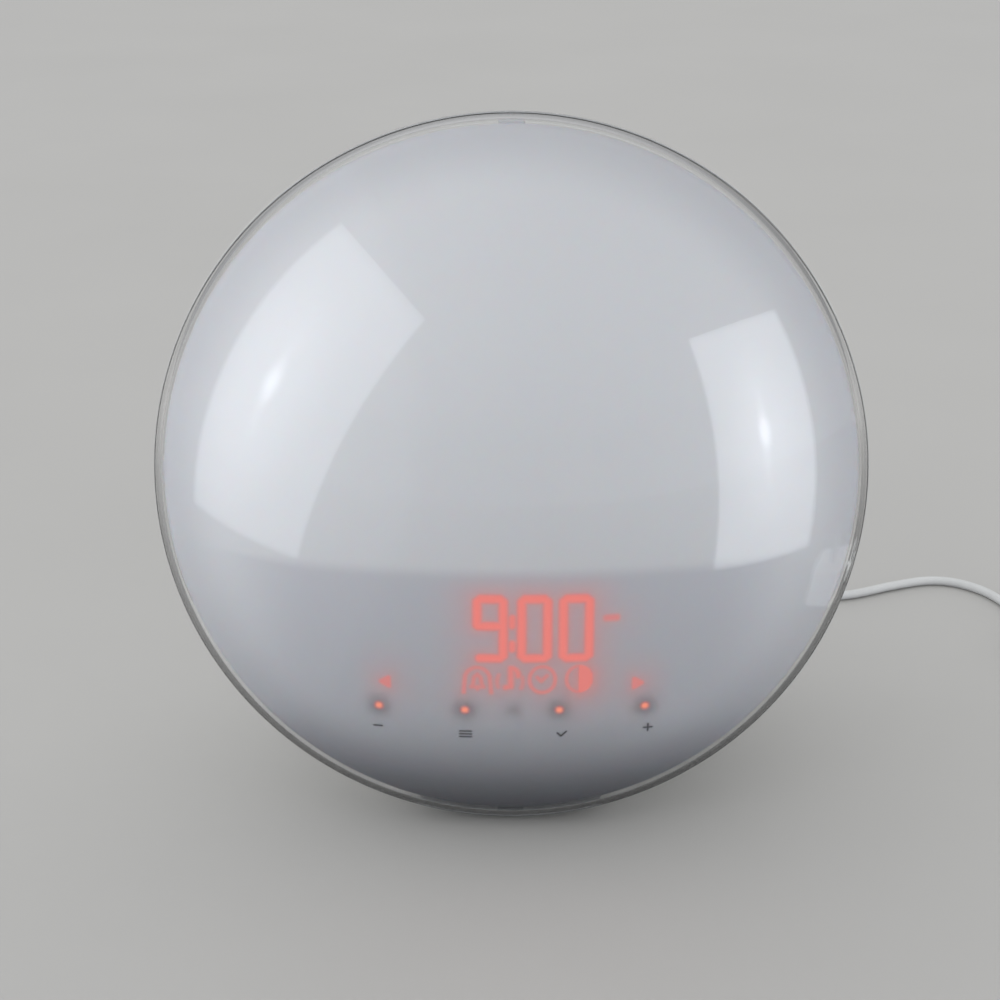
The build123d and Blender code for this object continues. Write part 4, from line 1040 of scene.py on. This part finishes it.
@dataclass
class DomedFront:
    """The clear cover with its snap teeth, and the milky diffuser behind it. Lengths in millimetres."""

    face: Face
    shop: Workshop
    form: DomeForm = field(default_factory=DomeForm)
    cover_wall: float = 1.8
    lip_round: float = 0.45
    ground_share: float = 0.75
    air_gap: float = 1.5
    diffuser_wall: float = 2.0
    diffuser_skirt: float = 5.0
    tooth_angles: tuple[float, ...] = (-18.0, 90.0, 180.0, 270.0)
    tooth_width: float = 7.0
    cover_tooth: float = 1.4
    cover_tooth_reach: float = 89.85
    diffuser_tooth: float = 2.4
    tooth_gap: float = 0.1

    @property
    def inner(self) -> DomeForm:
        """The diffuser's outside."""
        return self.form.inset(self.cover_wall + self.air_gap)

    def shell_profile(self, outer: DomeForm, wall: float, drop: float) -> list[tuple[float, float]]:
        """Profile of a shell from its outer pole round its edge to its inner pole.

        Args:
            outer: The outer form.
            wall: Its thickness.
            drop: How far its skirt runs behind the rim plane.

        Returns:
            Radius and level of each point.
        """
        outside = outer.profile(drop - self.lip_round)
        inside = outer.inset(wall).profile(drop - self.lip_round)
        lip = [(outer.radius - self.lip_round, -drop), (outer.radius - wall + self.lip_round, -drop)]
        return outside + lip + inside[::-1]

    def add_teeth(self, piece: bpy.types.Object, reach: Span, levels: Span) -> None:
        """Adds the four teeth of a snap joint to a shell.

        Args:
            piece: The shell.
            reach: Inner and outer radius of the teeth.
            levels: Back and front of the teeth.
        """
        block = bmesh.new()
        size = (reach[1] - reach[0], self.tooth_width, levels[1] - levels[0])
        middle = Vector((sum(reach) / 2, 0, sum(levels) / 2)) * MM
        for angle in self.tooth_angles:
            made = bmesh.ops.create_cube(block, size=1.0)
            turn = self.face.matrix @ Matrix.Rotation(math.radians(angle), 4, "Z")
            place = turn @ Matrix.Translation(middle) @ Matrix.Diagonal((*(c * MM for c in size), 1.0))
            bmesh.ops.transform(block, matrix=place, verts=made["verts"])
        soften = self.tooth_gap * 2 * MM
        bmesh.ops.bevel(block, geom=block.edges[:], offset=soften, segments=2, profile=0.5, affect="EDGES")
        block.from_mesh(piece.data)
        block.to_mesh(piece.data)
        block.free()

    def cover(self) -> bpy.types.Object:
        """Makes the clear cover, whose lip is ground.

        Returns:
            The finished cover.
        """
        skirt = self.face.skirt
        profile = self.shell_profile(self.form, self.cover_wall, skirt)
        cover = self.shop.turned_shell("clear_front", profile, ClearAcrylic().build(), self.face.matrix)
        inside = self.form.radius - self.cover_wall
        self.add_teeth(
            cover,
            (self.cover_tooth_reach, inside + self.tooth_gap),
            (-skirt, self.cover_tooth - skirt),
        )
        cover.data.materials.append(GroundAcrylic().build())
        to_face = self.face.matrix.inverted()
        ground_below = (self.lip_round * self.ground_share - skirt) * MM
        for polygon in cover.data.polygons:
            if (to_face @ polygon.center).z < ground_below:
                polygon.material_index = 1
        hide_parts("front_cover")
        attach(cover, "lamp")
        return cover

    def diffuser(self) -> bpy.types.Object:
        """Makes the milky diffuser.

        Returns:
            The finished diffuser.
        """
        profile = self.shell_profile(self.inner, self.diffuser_wall, self.diffuser_skirt)
        milky = MilkyAcrylic(self.face).build()
        diffuser = self.shop.turned_shell("milky_diffuser", profile, milky, self.face.matrix)
        outside = self.inner.radius
        self.add_teeth(
            diffuser,
            (outside - self.tooth_gap, outside + self.air_gap - self.tooth_gap),
            (-self.diffuser_skirt, self.diffuser_tooth - self.diffuser_skirt),
        )
        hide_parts("diffuser")
        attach(diffuser, "lamp")
        return diffuser

    def build(self) -> list[bpy.types.Object]:
        """Makes the cover and the diffuser and puts them on the lamp."""
        return [self.cover(), self.diffuser()]


# ---- Lit and printed marks ----
Place = tuple[float, float]
Stroke = tuple[Place, Place]


def run_of(*places: Place) -> list[Stroke]:
    """Strokes that join places one after another."""
    return list(zip(places, places[1:]))


def dot(x: float, y: float) -> Stroke:
    """A stroke that is so short that its width makes it a dot."""
    return ((x, y), (x + 0.01, y))


def arc_of(middle: Place, radius: float, start: float, end: float, steps: int = 24) -> list[Stroke]:
    """Short strokes along an arc whose angles are given in degrees."""
    turns = [math.radians(start + (end - start) * n / steps) for n in range(steps + 1)]
    return run_of(*((middle[0] + radius * math.cos(t), middle[1] + radius * math.sin(t)) for t in turns))


def moved(
    strokes: Iterable[Stroke], x: float, y: float, size: float = 1.0, stretch: float = 1.0
) -> list[Stroke]:
    """Strokes at another place and size, and stretched upwards."""
    return [tuple((x + size * px, y + size * stretch * py) for px, py in stroke) for stroke in strokes]


@dataclass(frozen=True)
class Mark:
    """Strokes of one width, with a soft edge and a strength. Lengths in millimetres."""

    strokes: Sequence[Stroke]
    half_width: float
    strength: float = 1.0
    softness: float = 0.14

    def distance(self, x: np.ndarray, y: np.ndarray) -> np.ndarray:
        """Measures how far places are from the nearest stroke.

        Args:
            x: The places' X.
            y: The places' Y.

        Returns:
            The distance of each place.
        """
        nearest = np.full(x.shape, np.inf)
        for (x0, y0), (x1, y1) in self.strokes:
            dx, dy = x1 - x0, y1 - y0
            share = np.clip(((x - x0) * dx + (y - y0) * dy) / max(dx * dx + dy * dy, 1e-9), 0, 1)
            nearest = np.minimum(nearest, np.hypot(x - x0 - share * dx, y - y0 - share * dy))
        return nearest

    def cover(self, x: np.ndarray, y: np.ndarray) -> np.ndarray:
        """How strongly each place is covered, from 0 to the mark's strength."""
        # The edge is held within 30 softnesses, past which the power would overflow.
        edge = np.clip((self.distance(x, y) - self.half_width) / self.softness, -30, 30)
        return self.strength / (1 + np.exp(edge))


class Sign:
    """Strokes of the signs about their middle, each about six millimetres across."""

    bell = (
        arc_of((0, 0.4), 1.1, 0, 180, 10)
        + run_of((-1.1, 0.4), (-1.3, -1.2), (-1.9, -1.9), (1.9, -1.9), (1.3, -1.2), (1.1, 0.4))
        + [dot(0, -2.5), ((0, 1.5), (0, 1.9))]
    )
    hood = (
        arc_of((0, -0.2), 2.9, 20, 160, 16)
        + run_of((-2.73, 0.8), (-3.1, -2.9))
        + run_of((2.73, 0.8), (3.1, -2.9))
    )
    note = [((-0.9, -1.7), (-0.5, -1.6)), ((0.2, -1.5), (0.2, 2.6))] + arc_of((0.2, 0.9), 1.7, 90, 0, 8)
    waves = arc_of((0.2, -0.4), 2.9, 150, 205, 8) + arc_of((0.2, -0.4), 2.9, -30, 20, 8)
    ring = arc_of((0, 0), 2.9, 0, 360, 40)
    hands = run_of((-1.3, 0.4), (-0.2, -0.8), (1.4, 0.9))
    half_disc = [
        ((dx, -math.sqrt(2.8**2 - dx**2)), (dx, math.sqrt(2.8**2 - dx**2))) for dx in np.arange(0.2, 2.7, 0.4)
    ]
    arrow = run_of((1.1, 0), (-0.7, 1.0), (-0.7, -1.0), (1.1, 0), (-0.7, 0))
    sun = arc_of((0, 0), 1.4, 0, 360, 24) + [
        tuple((r * math.cos(t), r * math.sin(t)) for r in (2.1, 2.9)) for t in np.radians(range(0, 360, 45))
    ]
    one = run_of((-0.7, 1.2), (0, 1.9), (0, -1.9))
    two = arc_of((0, 0.9), 1.0, 160, -30, 10) + run_of((0.87, 0.4), (-1.0, -1.9), (1.1, -1.9))
    less = run_of((-1.1, 0), (1.1, 0))
    more = less + run_of((0, -1.1), (0, 1.1))
    menu = [((-1.5, dy), (1.5, dy)) for dy in (-0.9, 0.0, 0.9)]


# The lit bars of a digit whose half width and half height are 1, with its corners cut.
DIGIT_BARS = {
    "9": run_of(
        (-0.8, -1), (0.72, -1), (1, -0.9), (1, 0.9), (0.72, 1), (-0.72, 1), (-1, 0.9), (-1, 0.14),
        (-0.9, 0.1), (1, 0.1),
    ),
    "0": run_of(
        (-0.72, 1), (0.72, 1), (1, 0.9), (1, -0.9), (0.72, -1), (-0.72, -1), (-1, -0.9), (-1, 0.9), (-0.72, 1)
    ),
}


@dataclass(frozen=True)
class MarkedFilm:
    """Light that shows through the diffuser, and screen-printed ink, both on a clear film.

    The milky acrylic spreads the display's light to a flat warm red, and the ink is dull and nearly black;
    the same dark tone paints shade over the dark touch pads and light sensor behind the diffuser. Three
    attributes say how much glow, lamp light, and ink with painted shade there is.
    """

    name: str = "display_light_printed_ink_and_shade"
    # The dark tone of the printed ink, which also paints the shade over the touch pads and the light sensor.
    ink_and_shade: Clouds = Clouds("3c3e44", "484a50", size=0.6)
    ink_roughness: float = 0.6
    display_red: str = "fb8c84"
    lamp_red: str = "ff9f86"

    def build(self) -> bpy.types.Material:
        """Makes the material.

        Returns:
            The finished material.
        """
        made = Surface(self.name)
        self.ink_and_shade.lay(made)
        made.set(Roughness=self.ink_roughness)
        glow, lamp, ink_and_shade = (
            made.add("ShaderNodeAttribute", attribute_name=name).outputs["Fac"]
            for name in ("glow", "lamp", "ink_and_shade")
        )
        clear = made.add("ShaderNodeBsdfTransparent")
        # Where the ink layer is strong, the film shows the dark tone, as printed ink or as painted shade.
        printed = made.add("ShaderNodeMixShader", {0: ink_and_shade, 1: clear.outputs[0], 2: made.shader.outputs[0]})
        reds = {"Factor": lamp, COLOUR_A: linear(self.display_red), COLOUR_B: linear(self.lamp_red)}
        red = made.add("ShaderNodeMix", reds, data_type="RGBA").outputs[COLOUR_MIXED]
        shine = made.add("ShaderNodeEmission", {"Color": red, "Strength": 1.0})
        either = made.add("ShaderNodeMath", {0: glow, 1: lamp}, operation="MAXIMUM")
        shares = {0: either.outputs[0], 1: printed.outputs[0], 2: shine.outputs[0]}
        made.show(made.add("ShaderNodeMixShader", shares))
        return made.material


@dataclass
class Film:
    """A thin film of square cells that carries marks. Lengths in millimetres."""

    name: str
    across: Span
    upwards: Span
    grid: float
    least: float = 0.004

    def __post_init__(self) -> None:
        """Lays out the film's columns and rows."""
        self.columns = np.arange(self.across[0], self.across[1] + self.grid, self.grid)
        rows = np.arange(self.upwards[0], self.upwards[1] + self.grid, self.grid)
        self.x, self.y = np.meshgrid(self.columns, rows)

    def build(
        self,
        place: Callable[[np.ndarray, np.ndarray], np.ndarray],
        layers: dict[str, np.ndarray],
        material: bpy.types.Material,
    ) -> bpy.types.Object:
        """Makes the film, only where there is something on it.

        Args:
            place: Gives the points in metres of places on the film.
            layers: Attribute name to its strength at each place.
            material: The film's material.

        Returns:
            The film.
        """
        points = place(self.x.ravel(), self.y.ravel())
        count = len(self.columns)
        filled = np.max(list(layers.values()), axis=0) > self.least
        cells = filled[:-1, :-1] | filled[1:, :-1] | filled[:-1, 1:] | filled[1:, 1:]
        rows, cols = np.nonzero(cells)
        first = rows * count + cols
        faces = np.stack([first, first + 1, first + count + 1, first + count], axis=1)
        used, faces = np.unique(faces, return_inverse=True)
        mesh = bpy.data.meshes.new(self.name)
        mesh.from_pydata(points[used].tolist(), [], faces.reshape(-1, 4).tolist())
        for name, layer in layers.items():
            strengths = mesh.attributes.new(name, "FLOAT", "POINT")
            strengths.data.foreach_set("value", layer.ravel()[used].astype(np.float32))
        mesh.shade_smooth()
        return new_piece(self.name, mesh, material)


@dataclass
class DisplayFace:
    """What the display and the touch keys show on the diffuser. Lengths in millimetres on the face."""

    face: Face
    surface: DomeForm
    material: bpy.types.Material
    across: Span = (-41.0, 43.0)
    upwards: Span = (-72.0, -18.0)
    grid: float = 0.25
    lift: float = 0.12
    digits: tuple = (("9", -5.2), ("0", 6.05), ("0", 16.6))
    digit_middle: float = -33.9
    digit_half: Span = (3.3, 8.2)
    digit_bar: tuple[float, float, float] = (1.2, 0.9, 0.3)
    colon: tuple = (((0.35, -32.9), (0.36, -30.9)), ((0.35, -39.4), (0.36, -38.0)))
    half_day: tuple = ((24.2, -31.3), (26.8, -31.2))
    bell_at: float = -8.5
    note_at: float = -0.2
    clock_at: float = 8.1
    contrast_at: float = 17.6
    icon_row: float = -48.3
    icon_size: float = 1.14
    icon_stretch: float = 1.15
    arrow_right: Place = (32.6, -50.4)
    arrow_left: Place = (-32.2, -50.1)
    arrow_size: float = 1.05
    lamps: tuple[float, ...] = (-34.2, -11.8, 12.6, 34.9)
    lamp_row: float = -57.5
    lamp_half: float = 0.86
    sensor: Place = (0.9, -57.3)
    less_at: Place = (-34.7, -64.0)
    menu_at: Place = (-11.7, -65.1)
    choose_at: Place = (13.3, -65.1)
    more_at: Place = (36.0, -64.5)
    near_glow: Span = (0.2, 2.1)
    wide_glow: Span = (0.13, 7.0)
    lamp_glow: Span = (0.5, 1.3)
    # Painted shade over the touch pads round the lamps and over the light sensor: strength and reach.
    lamp_shade: Span = (0.3, 3.0)
    sensor_shade: Span = (0.16, 2.4)
    edge_fade: float = 4.0

    def glowing(self) -> list[Mark]:
        """Lays out the digits, the colon, the half-day mark, the signs and the arrows.

        Returns:
            The marks that glow.
        """
        half_x, half_y = self.digit_half
        marks = [
            Mark(moved(DIGIT_BARS[digit], x, self.digit_middle, half_x, half_y / half_x), *self.digit_bar)
            for digit, x in self.digits
        ]
        row, size, tall = self.icon_row, self.icon_size, self.icon_stretch
        # Each mark ends with its half width, its strength and the softness of its edge.
        return marks + [
            Mark(self.colon, 1.05, 0.8, 0.3),
            Mark([self.half_day], 0.95, 0.58, 0.32),
            Mark(moved(Sign.hood, self.bell_at, row, size, tall), 0.55, 0.6, 0.3),
            Mark(moved(Sign.bell, self.bell_at, row - 0.3, 0.85, tall), 0.52, 0.62, 0.3),
            Mark(moved(Sign.note, self.note_at, row, size, tall), 0.75, 0.72, 0.34),
            Mark(moved(Sign.waves, self.note_at - 0.2, row, size, tall), 0.55, 0.52, 0.34),
            Mark(moved(Sign.ring, self.clock_at, row, size, tall), 0.5, 0.64, 0.28),
            Mark(moved(Sign.hands, self.clock_at - 0.1, row + 0.3, size * 0.8), 0.5, 0.62, 0.3),
            Mark(moved(Sign.ring, self.contrast_at, row, size, tall), 0.48, 0.64, 0.28),
            Mark(moved(Sign.half_disc, self.contrast_at, row, size, tall), 0.45, 0.94, 0.26),
            Mark(moved(Sign.arrow, *self.arrow_right, self.arrow_size, tall), 0.6, 0.7, 0.32),
            Mark(moved(Sign.arrow, *self.arrow_left, -self.arrow_size, tall), 0.6, 0.66, 0.32),
        ]

    def printed(self) -> list[Mark]:
        """Lays out the signs under the touch keys: less, menu, choose and more.

        Returns:
            The marks that are printed.
        """
        return [
            Mark(moved(Sign.less, *self.less_at), 0.2, 0.95, 0.07),
            Mark(moved(Sign.menu, *self.menu_at), 0.2, 0.85, 0.07),
            Mark(moved(Sign.hands, *self.choose_at, 0.85), 0.22, 0.9, 0.07),
            Mark(moved(Sign.more, *self.more_at), 0.2, 0.95, 0.07),
        ]

    def on_dome(self, x: np.ndarray, y: np.ndarray) -> np.ndarray:
        """The points just off the diffuser that lie at places on the face."""
        return self.face.placed(x, y, self.surface.level(x, y) + self.lift)

    def build(self) -> list[bpy.types.Object]:
        """Makes the film that shows all of it.

        Returns:
            The film.
        """
        film = Film("display_light", self.across, self.upwards, self.grid)
        x, y = film.x, film.y
        marks = self.glowing()
        glow = np.max([mark.cover(x, y) for mark in marks], axis=0)
        edge = np.minimum.reduce(
            [x - self.across[0], self.across[1] - x, y - self.upwards[0], self.upwards[1] - y]
        )
        # The milky acrylic spreads the light round each mark, close by and wide about.
        halo = sum(
            share * np.max([m.strength**2 * np.exp(-(m.distance(x, y) / reach) ** 2) for m in marks], axis=0)
            for share, reach in (self.near_glow, self.wide_glow)
        )
        glow = np.maximum(glow, halo * np.clip(edge / self.edge_fade, 0, 1))
        lamps = Mark([dot(px, self.lamp_row) for px in self.lamps], self.lamp_half, 1.0, 0.16)
        far = lamps.distance(x, y)
        share, reach = self.lamp_glow
        glow = np.maximum(glow, share * np.exp(-(far / reach) ** 4))
        # The dark touch pads round the lamps and the light sensor behind the diffuser are painted as faint
        # grey spots of shade, in the same layer as the printed ink.
        off_sensor = np.hypot(x - self.sensor[0], y - self.sensor[1])
        shades = [
            share * np.exp(-(away / reach) ** 2)
            for away, (share, reach) in ((far, self.lamp_shade), (off_sensor, self.sensor_shade))
        ]
        ink_and_shade = np.max([mark.cover(x, y) for mark in self.printed()] + shades, axis=0)
        layers = {"glow": glow, "lamp": lamps.cover(x, y), "ink_and_shade": ink_and_shade}
        piece = film.build(self.on_dome, layers, self.material)
        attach(piece, "lamp")
        return [piece]


@dataclass
class KeyLegends:
    """The signs on the side keys, printed round the drum. Lengths in millimetres on the face."""

    face: Face
    material: bpy.types.Material
    drum_radius: float = 72.0
    drum_drop: float = 17.0
    station: float = 37.0
    rise: float = 12.0
    proud: float = 1.2
    lift: float = 0.05
    across: Span = (-6.5, 6.5)
    upwards: Span = (-3.6, 3.6)
    grid: float = 0.1
    ink_and_shade: tuple[float, float, float] = (0.2, 0.85, 0.05)

    def on_key(self, side: int, up: int, x: np.ndarray, y: np.ndarray) -> np.ndarray:
        """Wraps places on a sign round its key.

        Args:
            side: 1 for a key on the right, -1 for one on the left.
            up: 1 for an upper key, -1 for a lower one.
            x: The places' X on the sign.
            y: The places' Y on the sign.

        Returns:
            Their points in metres.
        """
        radius = self.drum_radius + self.proud + self.lift
        level = up * self.rise + y
        return self.face.placed(
            side * np.sqrt(radius**2 - level**2), level - self.drum_drop, -self.station - side * x
        )

    def build(self) -> list[bpy.types.Object]:
        """Prints one sign on each key.

        Returns:
            The signs' films.
        """
        signs = {
            "alarm_one": (-1, 1, moved(Sign.bell, -2.2, 0) + moved(Sign.one, 2.6, 0)),
            "alarm_two": (-1, -1, moved(Sign.bell, -2.2, 0) + moved(Sign.two, 2.6, 0)),
            "light": (1, 1, Sign.sun),
            "sound": (1, -1, Sign.note),
        }
        pieces = []
        for name, (side, up, strokes) in signs.items():
            film = Film(f"{name}_legend", self.across, self.upwards, self.grid)
            unlit = np.zeros(film.x.shape)
            layers = {"glow": unlit, "lamp": unlit, "ink_and_shade": Mark(strokes, *self.ink_and_shade).cover(film.x, film.y)}
            piece = film.build(partial(self.on_key, side, up), layers, self.material)
            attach(piece, f"{name}_button")
            pieces.append(piece)
        return pieces


# ---- Cord ----
@dataclass
class SupplyCord:
    """The cord from the plug over the table to its tied coil and on to the adapter.

    Lengths in millimetres. A seat in the coil is its column from outside and its row from below.
    """

    diameter: float = 2.9
    lift: float = 0.05
    length: float = 1500.0
    coil_middle: Place = (186.0, 72.0)
    coil_start_deg: float = 186.0
    coil_end_deg: float = 272.0
    outer_turn: float = 20.35
    tie_wall: float = 0.7
    points_per_turn: int = 16
    step_share: float = 0.3
    seats: tuple = (
        (0, 0), (1, 0), (2, 0), (3, 0), (3, 1), (3, 2), (2, 2), (2, 1), (1, 1), (1, 2), (0, 2), (0, 1),
    )

    def lead(self) -> list[Point]:
        """Lays the cord out from the plug's relief over the table to the coil.

        Returns:
            The route's points.
        """
        z = self.diameter / 2 + self.lift
        return [
            (34, 84, 24), (34, 93, 24), (36.5, 106, 17.5), (44, 115, 8), (57, 121, z), (77, 120, z),
            (94, 112, z), (111, 111, z), (128, 120, z), (145, 126, z), (159, 117, z), (166, 101, z),
            (166.5, 84, z),
        ]

    def tail(self) -> list[Point]:
        """The route from the coil to the adapter's relief."""
        z = self.diameter / 2 + self.lift
        return [(188, 51.7, z), (202.3, 49.6, z), (211, 37.5, 2.4), (212, 28, 4.5), (212, 20, 4.5)]

    def coil(self) -> list[Point]:
        """Winds the turns, each a diameter from the last, stepping to the next seat late in its turn.

        Returns:
            The route's points.
        """
        start = math.radians(self.coil_start_deg)
        extra = math.radians(self.coil_end_deg) - start
        turns = len(self.seats)
        count = turns * self.points_per_turn + round(self.points_per_turn * extra / (2 * math.pi))
        # The spline cuts the corners between its points, so they lie a little outside the turn.
        outside = 1 / math.cos(math.pi / self.points_per_turn)
        points = []
        for n in range(count):
            done = n / self.points_per_turn
            seat = min(int(done), turns - 1)
            after = min(seat + 1, turns - 1)
            late = (done - seat - (1 - self.step_share)) / self.step_share
            share = min(max(late, 0.0), 1.0)
            column, row = (
                here * (1 - share) + there * share for here, there in zip(self.seats[seat], self.seats[after])
            )
            angle = start + done * 2 * math.pi
            radius = (self.outer_turn - column * self.diameter) * outside
            points.append(
                (
                    self.coil_middle[0] + radius * math.cos(angle),
                    self.coil_middle[1] + radius * math.sin(angle),
                    self.tie_wall + self.diameter * (row + 0.5),
                )
            )
        return points

    def build(self) -> list[bpy.types.Object]:
        """Returns:
            The cord.
        """
        route = self.lead() + self.coil() + self.tail()
        curve = bpy.data.curves.new("cord", "CURVE")
        curve.dimensions = "3D"
        spline = curve.splines.new("NURBS")
        spline.points.add(len(route) - 1)
        for point, place in zip(spline.points, route):
            point.co = (*(c * MM for c in place), 1.0)
        spline.order_u = 3
        spline.use_endpoint_u = True
        spline.resolution_u = 6
        curve.bevel_depth = self.diameter * MM / 2
        curve.bevel_resolution = 5
        curve.use_fill_caps = True
        curve.materials.append(Rubber("soft_pvc_sheath", "bdbebd", "cacbca", 0.5).build())
        cord = bpy.data.objects.new("cord", curve)
        bpy.context.scene.collection.objects.link(cord)
        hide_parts("cord_lead", "cord_coil", "cord_tail")
        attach(cord, "lamp")
        return [cord]


# ---- Construction parts that keep their shape ----
class Trim(Enum):
    """The finishes of the construction parts that keep their shape.

    After its two tones, a finish may name its roughness, its grain's size and its grain's depth.
    """

    # White ABS, moulded: an even, faintly warm white with a soft sheen, and brighter and duller inside.
    WHITE = MouldedPlastic("white_moulded_abs", "e2e2df", "e9e9e7")
    REFLECTOR = MouldedPlastic("white_reflector_abs", "eeeeec", "f4f4f2", 0.5)
    # The keys' mould is polished more, so they shine a little beside the housing.
    KEY = MouldedPlastic("satin_key_abs", "e6e6e4", "ededeb", 0.34, 0.3, 0.006)
    # Filled nylon and ABS in black: nearly black, with a greyish sheen.
    BLACK = MouldedPlastic("black_moulded_nylon", "151516", "1d1d1f", 0.45)
    DISPLAY = MouldedPlastic("black_display_abs", "1c1c1e", "242427", 0.5)
    # Soft PVC, moulded round the plugs: a dull mid grey.
    GREY_PLUG = MouldedPlastic("grey_moulded_pvc", "b4b5b5", "c0c1c1", 0.48)
    # Polycarbonate, moulded: a harder, glossier white than the lamp's own.
    ADAPTER = MouldedPlastic("white_polycarbonate", "dfdfdc", "e7e7e5", 0.38)
    # Lacquered foil, rolled: a flat silver grey without a mirror's glare.
    PLATE = MouldedPlastic("bare_grey_foil", "b3b5b7", "bcbec0", 0.35, 0.2, 0.004)
    # Solder mask, cured on glass cloth: glossy, with the weave's slow ripple.
    GREEN = MouldedPlastic("green_solder_mask", "0f4a2a", "145934", 0.3, 1.2, 0.01)
    BOARD = MouldedPlastic("white_solder_mask", "dfe1df", "e9ebe9", 0.35)
    # Silicone with phosphor, cast: a glossy, opaque yellow.
    LAMP = MouldedPlastic("phosphor_led", "f1d98a", "f6e3a0", 0.3)
    # Epoxy and acrylic, dyed red and cast clear: glossy and deep.
    RED = MouldedPlastic("red_led_resin", "b93a30", "cc4a3e", 0.25)
    INSERT = MouldedPlastic("red_light_insert", "e0685c", "ea7a6e", 0.35)
    # Nylon without dye, moulded: a dull cream.
    CREAM = MouldedPlastic("natural_nylon", "d9ceb0", "e2d9bd", 0.5)
    # PVC sleeve, shrunk on with heat: dark blue and glossy.
    SLEEVE = MouldedPlastic("shrink_sleeve", "1c2140", "252b50", 0.3)
    # Paper pulp, pressed: black and quite dull, with a coarse felted grain.
    PAPER = MouldedPlastic("pressed_paper", "1b1b1b", "262626", 0.8, 0.8, 0.05)
    # Polyester film over copper, laminated: a smooth pale grey.
    RIBBON = MouldedPlastic("flat_flexible_cable", "9b9da0", "a9abae", 0.4)
    # PVC over a wire core, extruded: black, with a slight sheen.
    TIE = MouldedPlastic("black_twist_tie", "1d1d1d", "272727", 0.5)
    # Steel, powder-coated: white, with the fine orange peel of the melted powder.
    POWDER = MouldedPlastic("powder_coated_steel", "dcdcda", "e4e4e2", 0.45, 0.6, 0.02)
    # Rubber, foam and a dark silicone lens: the first two dull, the lens glossy.
    PAD = Rubber("grey_moulded_rubber", "8d8f91", "9b9d9f", 0.62)
    FOAM = Rubber("die_cut_foam", "2e2e30", "3a3a3c", 0.9)
    LENS = Rubber("dark_sensor_lens", "17171b", "1f1f24", 0.2)
    # Zinc is bluish and hazy, extruded aluminium paler and duller, and nickel warm and bright.
    STEEL = Metal("zinc_plated_steel", "a5a7a9", "b7b9bb", 0.34)
    ALUMINIUM = Metal("extruded_aluminium", "c2c4c6", "cfd1d3", 0.4)
    NICKEL = Metal("nickel_plated_brass", "c9c7c0", "d6d4ce", 0.2)
    # Enamel gives wound copper a darker, browner gleam, and sintered ferrite is a dull dark grey.
    COPPER = Metal("enamelled_copper", "a8552c", "bb6a3c", 0.35)
    FERRITE = Metal("ferrite_and_plate", "3a3a3c", "47474a", 0.55)


TRIMMED: dict[Trim, tuple[str, ...]] = {
    Trim.WHITE: ("rear_housing",),
    Trim.REFLECTOR: ("reflector", "light_baffle"),
    Trim.KEY: ("alarm_one_key", "alarm_two_key", "light_key", "sound_key"),
    Trim.BLACK: (
        "board_chips", "alarm_one_plunger", "alarm_two_plunger", "light_plunger", "sound_plunger",
        "key_switches", "supply_socket",
    ),
    Trim.DISPLAY: ("display_housing",),
    Trim.GREY_PLUG: ("supply_plug", "plug_relief", "adapter_relief"),
    Trim.ADAPTER: ("adapter_body", "adapter_cover"),
    Trim.PLATE: ("rating_plate",),
    Trim.GREEN: ("display_board", "main_board", "key_boards"),
    Trim.BOARD: ("led_board",),
    Trim.LAMP: ("leds",),
    Trim.RED: ("display_leds", "key_lamps"),
    Trim.INSERT: ("display_inserts",),
    Trim.CREAM: ("board_connectors",),
    Trim.SLEEVE: ("capacitors",),
    Trim.PAPER: ("speaker_cone", "dust_cap"),
    Trim.RIBBON: ("display_ribbon",),
    Trim.TIE: ("coil_tie",),
    Trim.POWDER: ("speaker_grille",),
    Trim.PAD: ("front_foot", "rear_feet"),
    Trim.FOAM: ("touch_pads", "speaker_gasket", "speaker_surround"),
    Trim.LENS: ("light_sensor",),
    Trim.STEEL: ("clock_backup", "small_screws", "housing_screws", "speaker_basket"),
    Trim.ALUMINIUM: ("heat_sink",),
    Trim.NICKEL: ("adapter_pins",),
    Trim.COPPER: ("voice_coil",),
    Trim.FERRITE: ("speaker_magnet",),
}


@dataclass
class Construction:
    """The construction parts that keep their shape and get their finishes."""

    shop: Workshop

    def build(self) -> list[bpy.types.Object]:
        """Finishes every such part.

        Returns:
            The parts.
        """
        parts = []
        for trim, nodes in TRIMMED.items():
            material = trim.value.build()
            parts += [self.shop.finish_node(node, material) for node in nodes]
        return parts


def main() -> None:
    """Builds every sub-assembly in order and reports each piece."""
    face = Face()
    shop = Workshop()
    Studio().build(face)
    marked = MarkedFilm().build()
    front = DomedFront(face, shop)
    assemblies = (
        SupplyCord(),
        front,
        DisplayFace(face, front.inner, marked),
        KeyLegends(face, marked),
        Construction(shop),
    )
    for assembly in assemblies:
        for piece in assembly.build():
            finishes = ", ".join(material.name for material in piece.data.materials)
            log.info("%s %s: %s", type(assembly).__name__, piece.name, finishes)


if __name__ == "__main__":
    main()
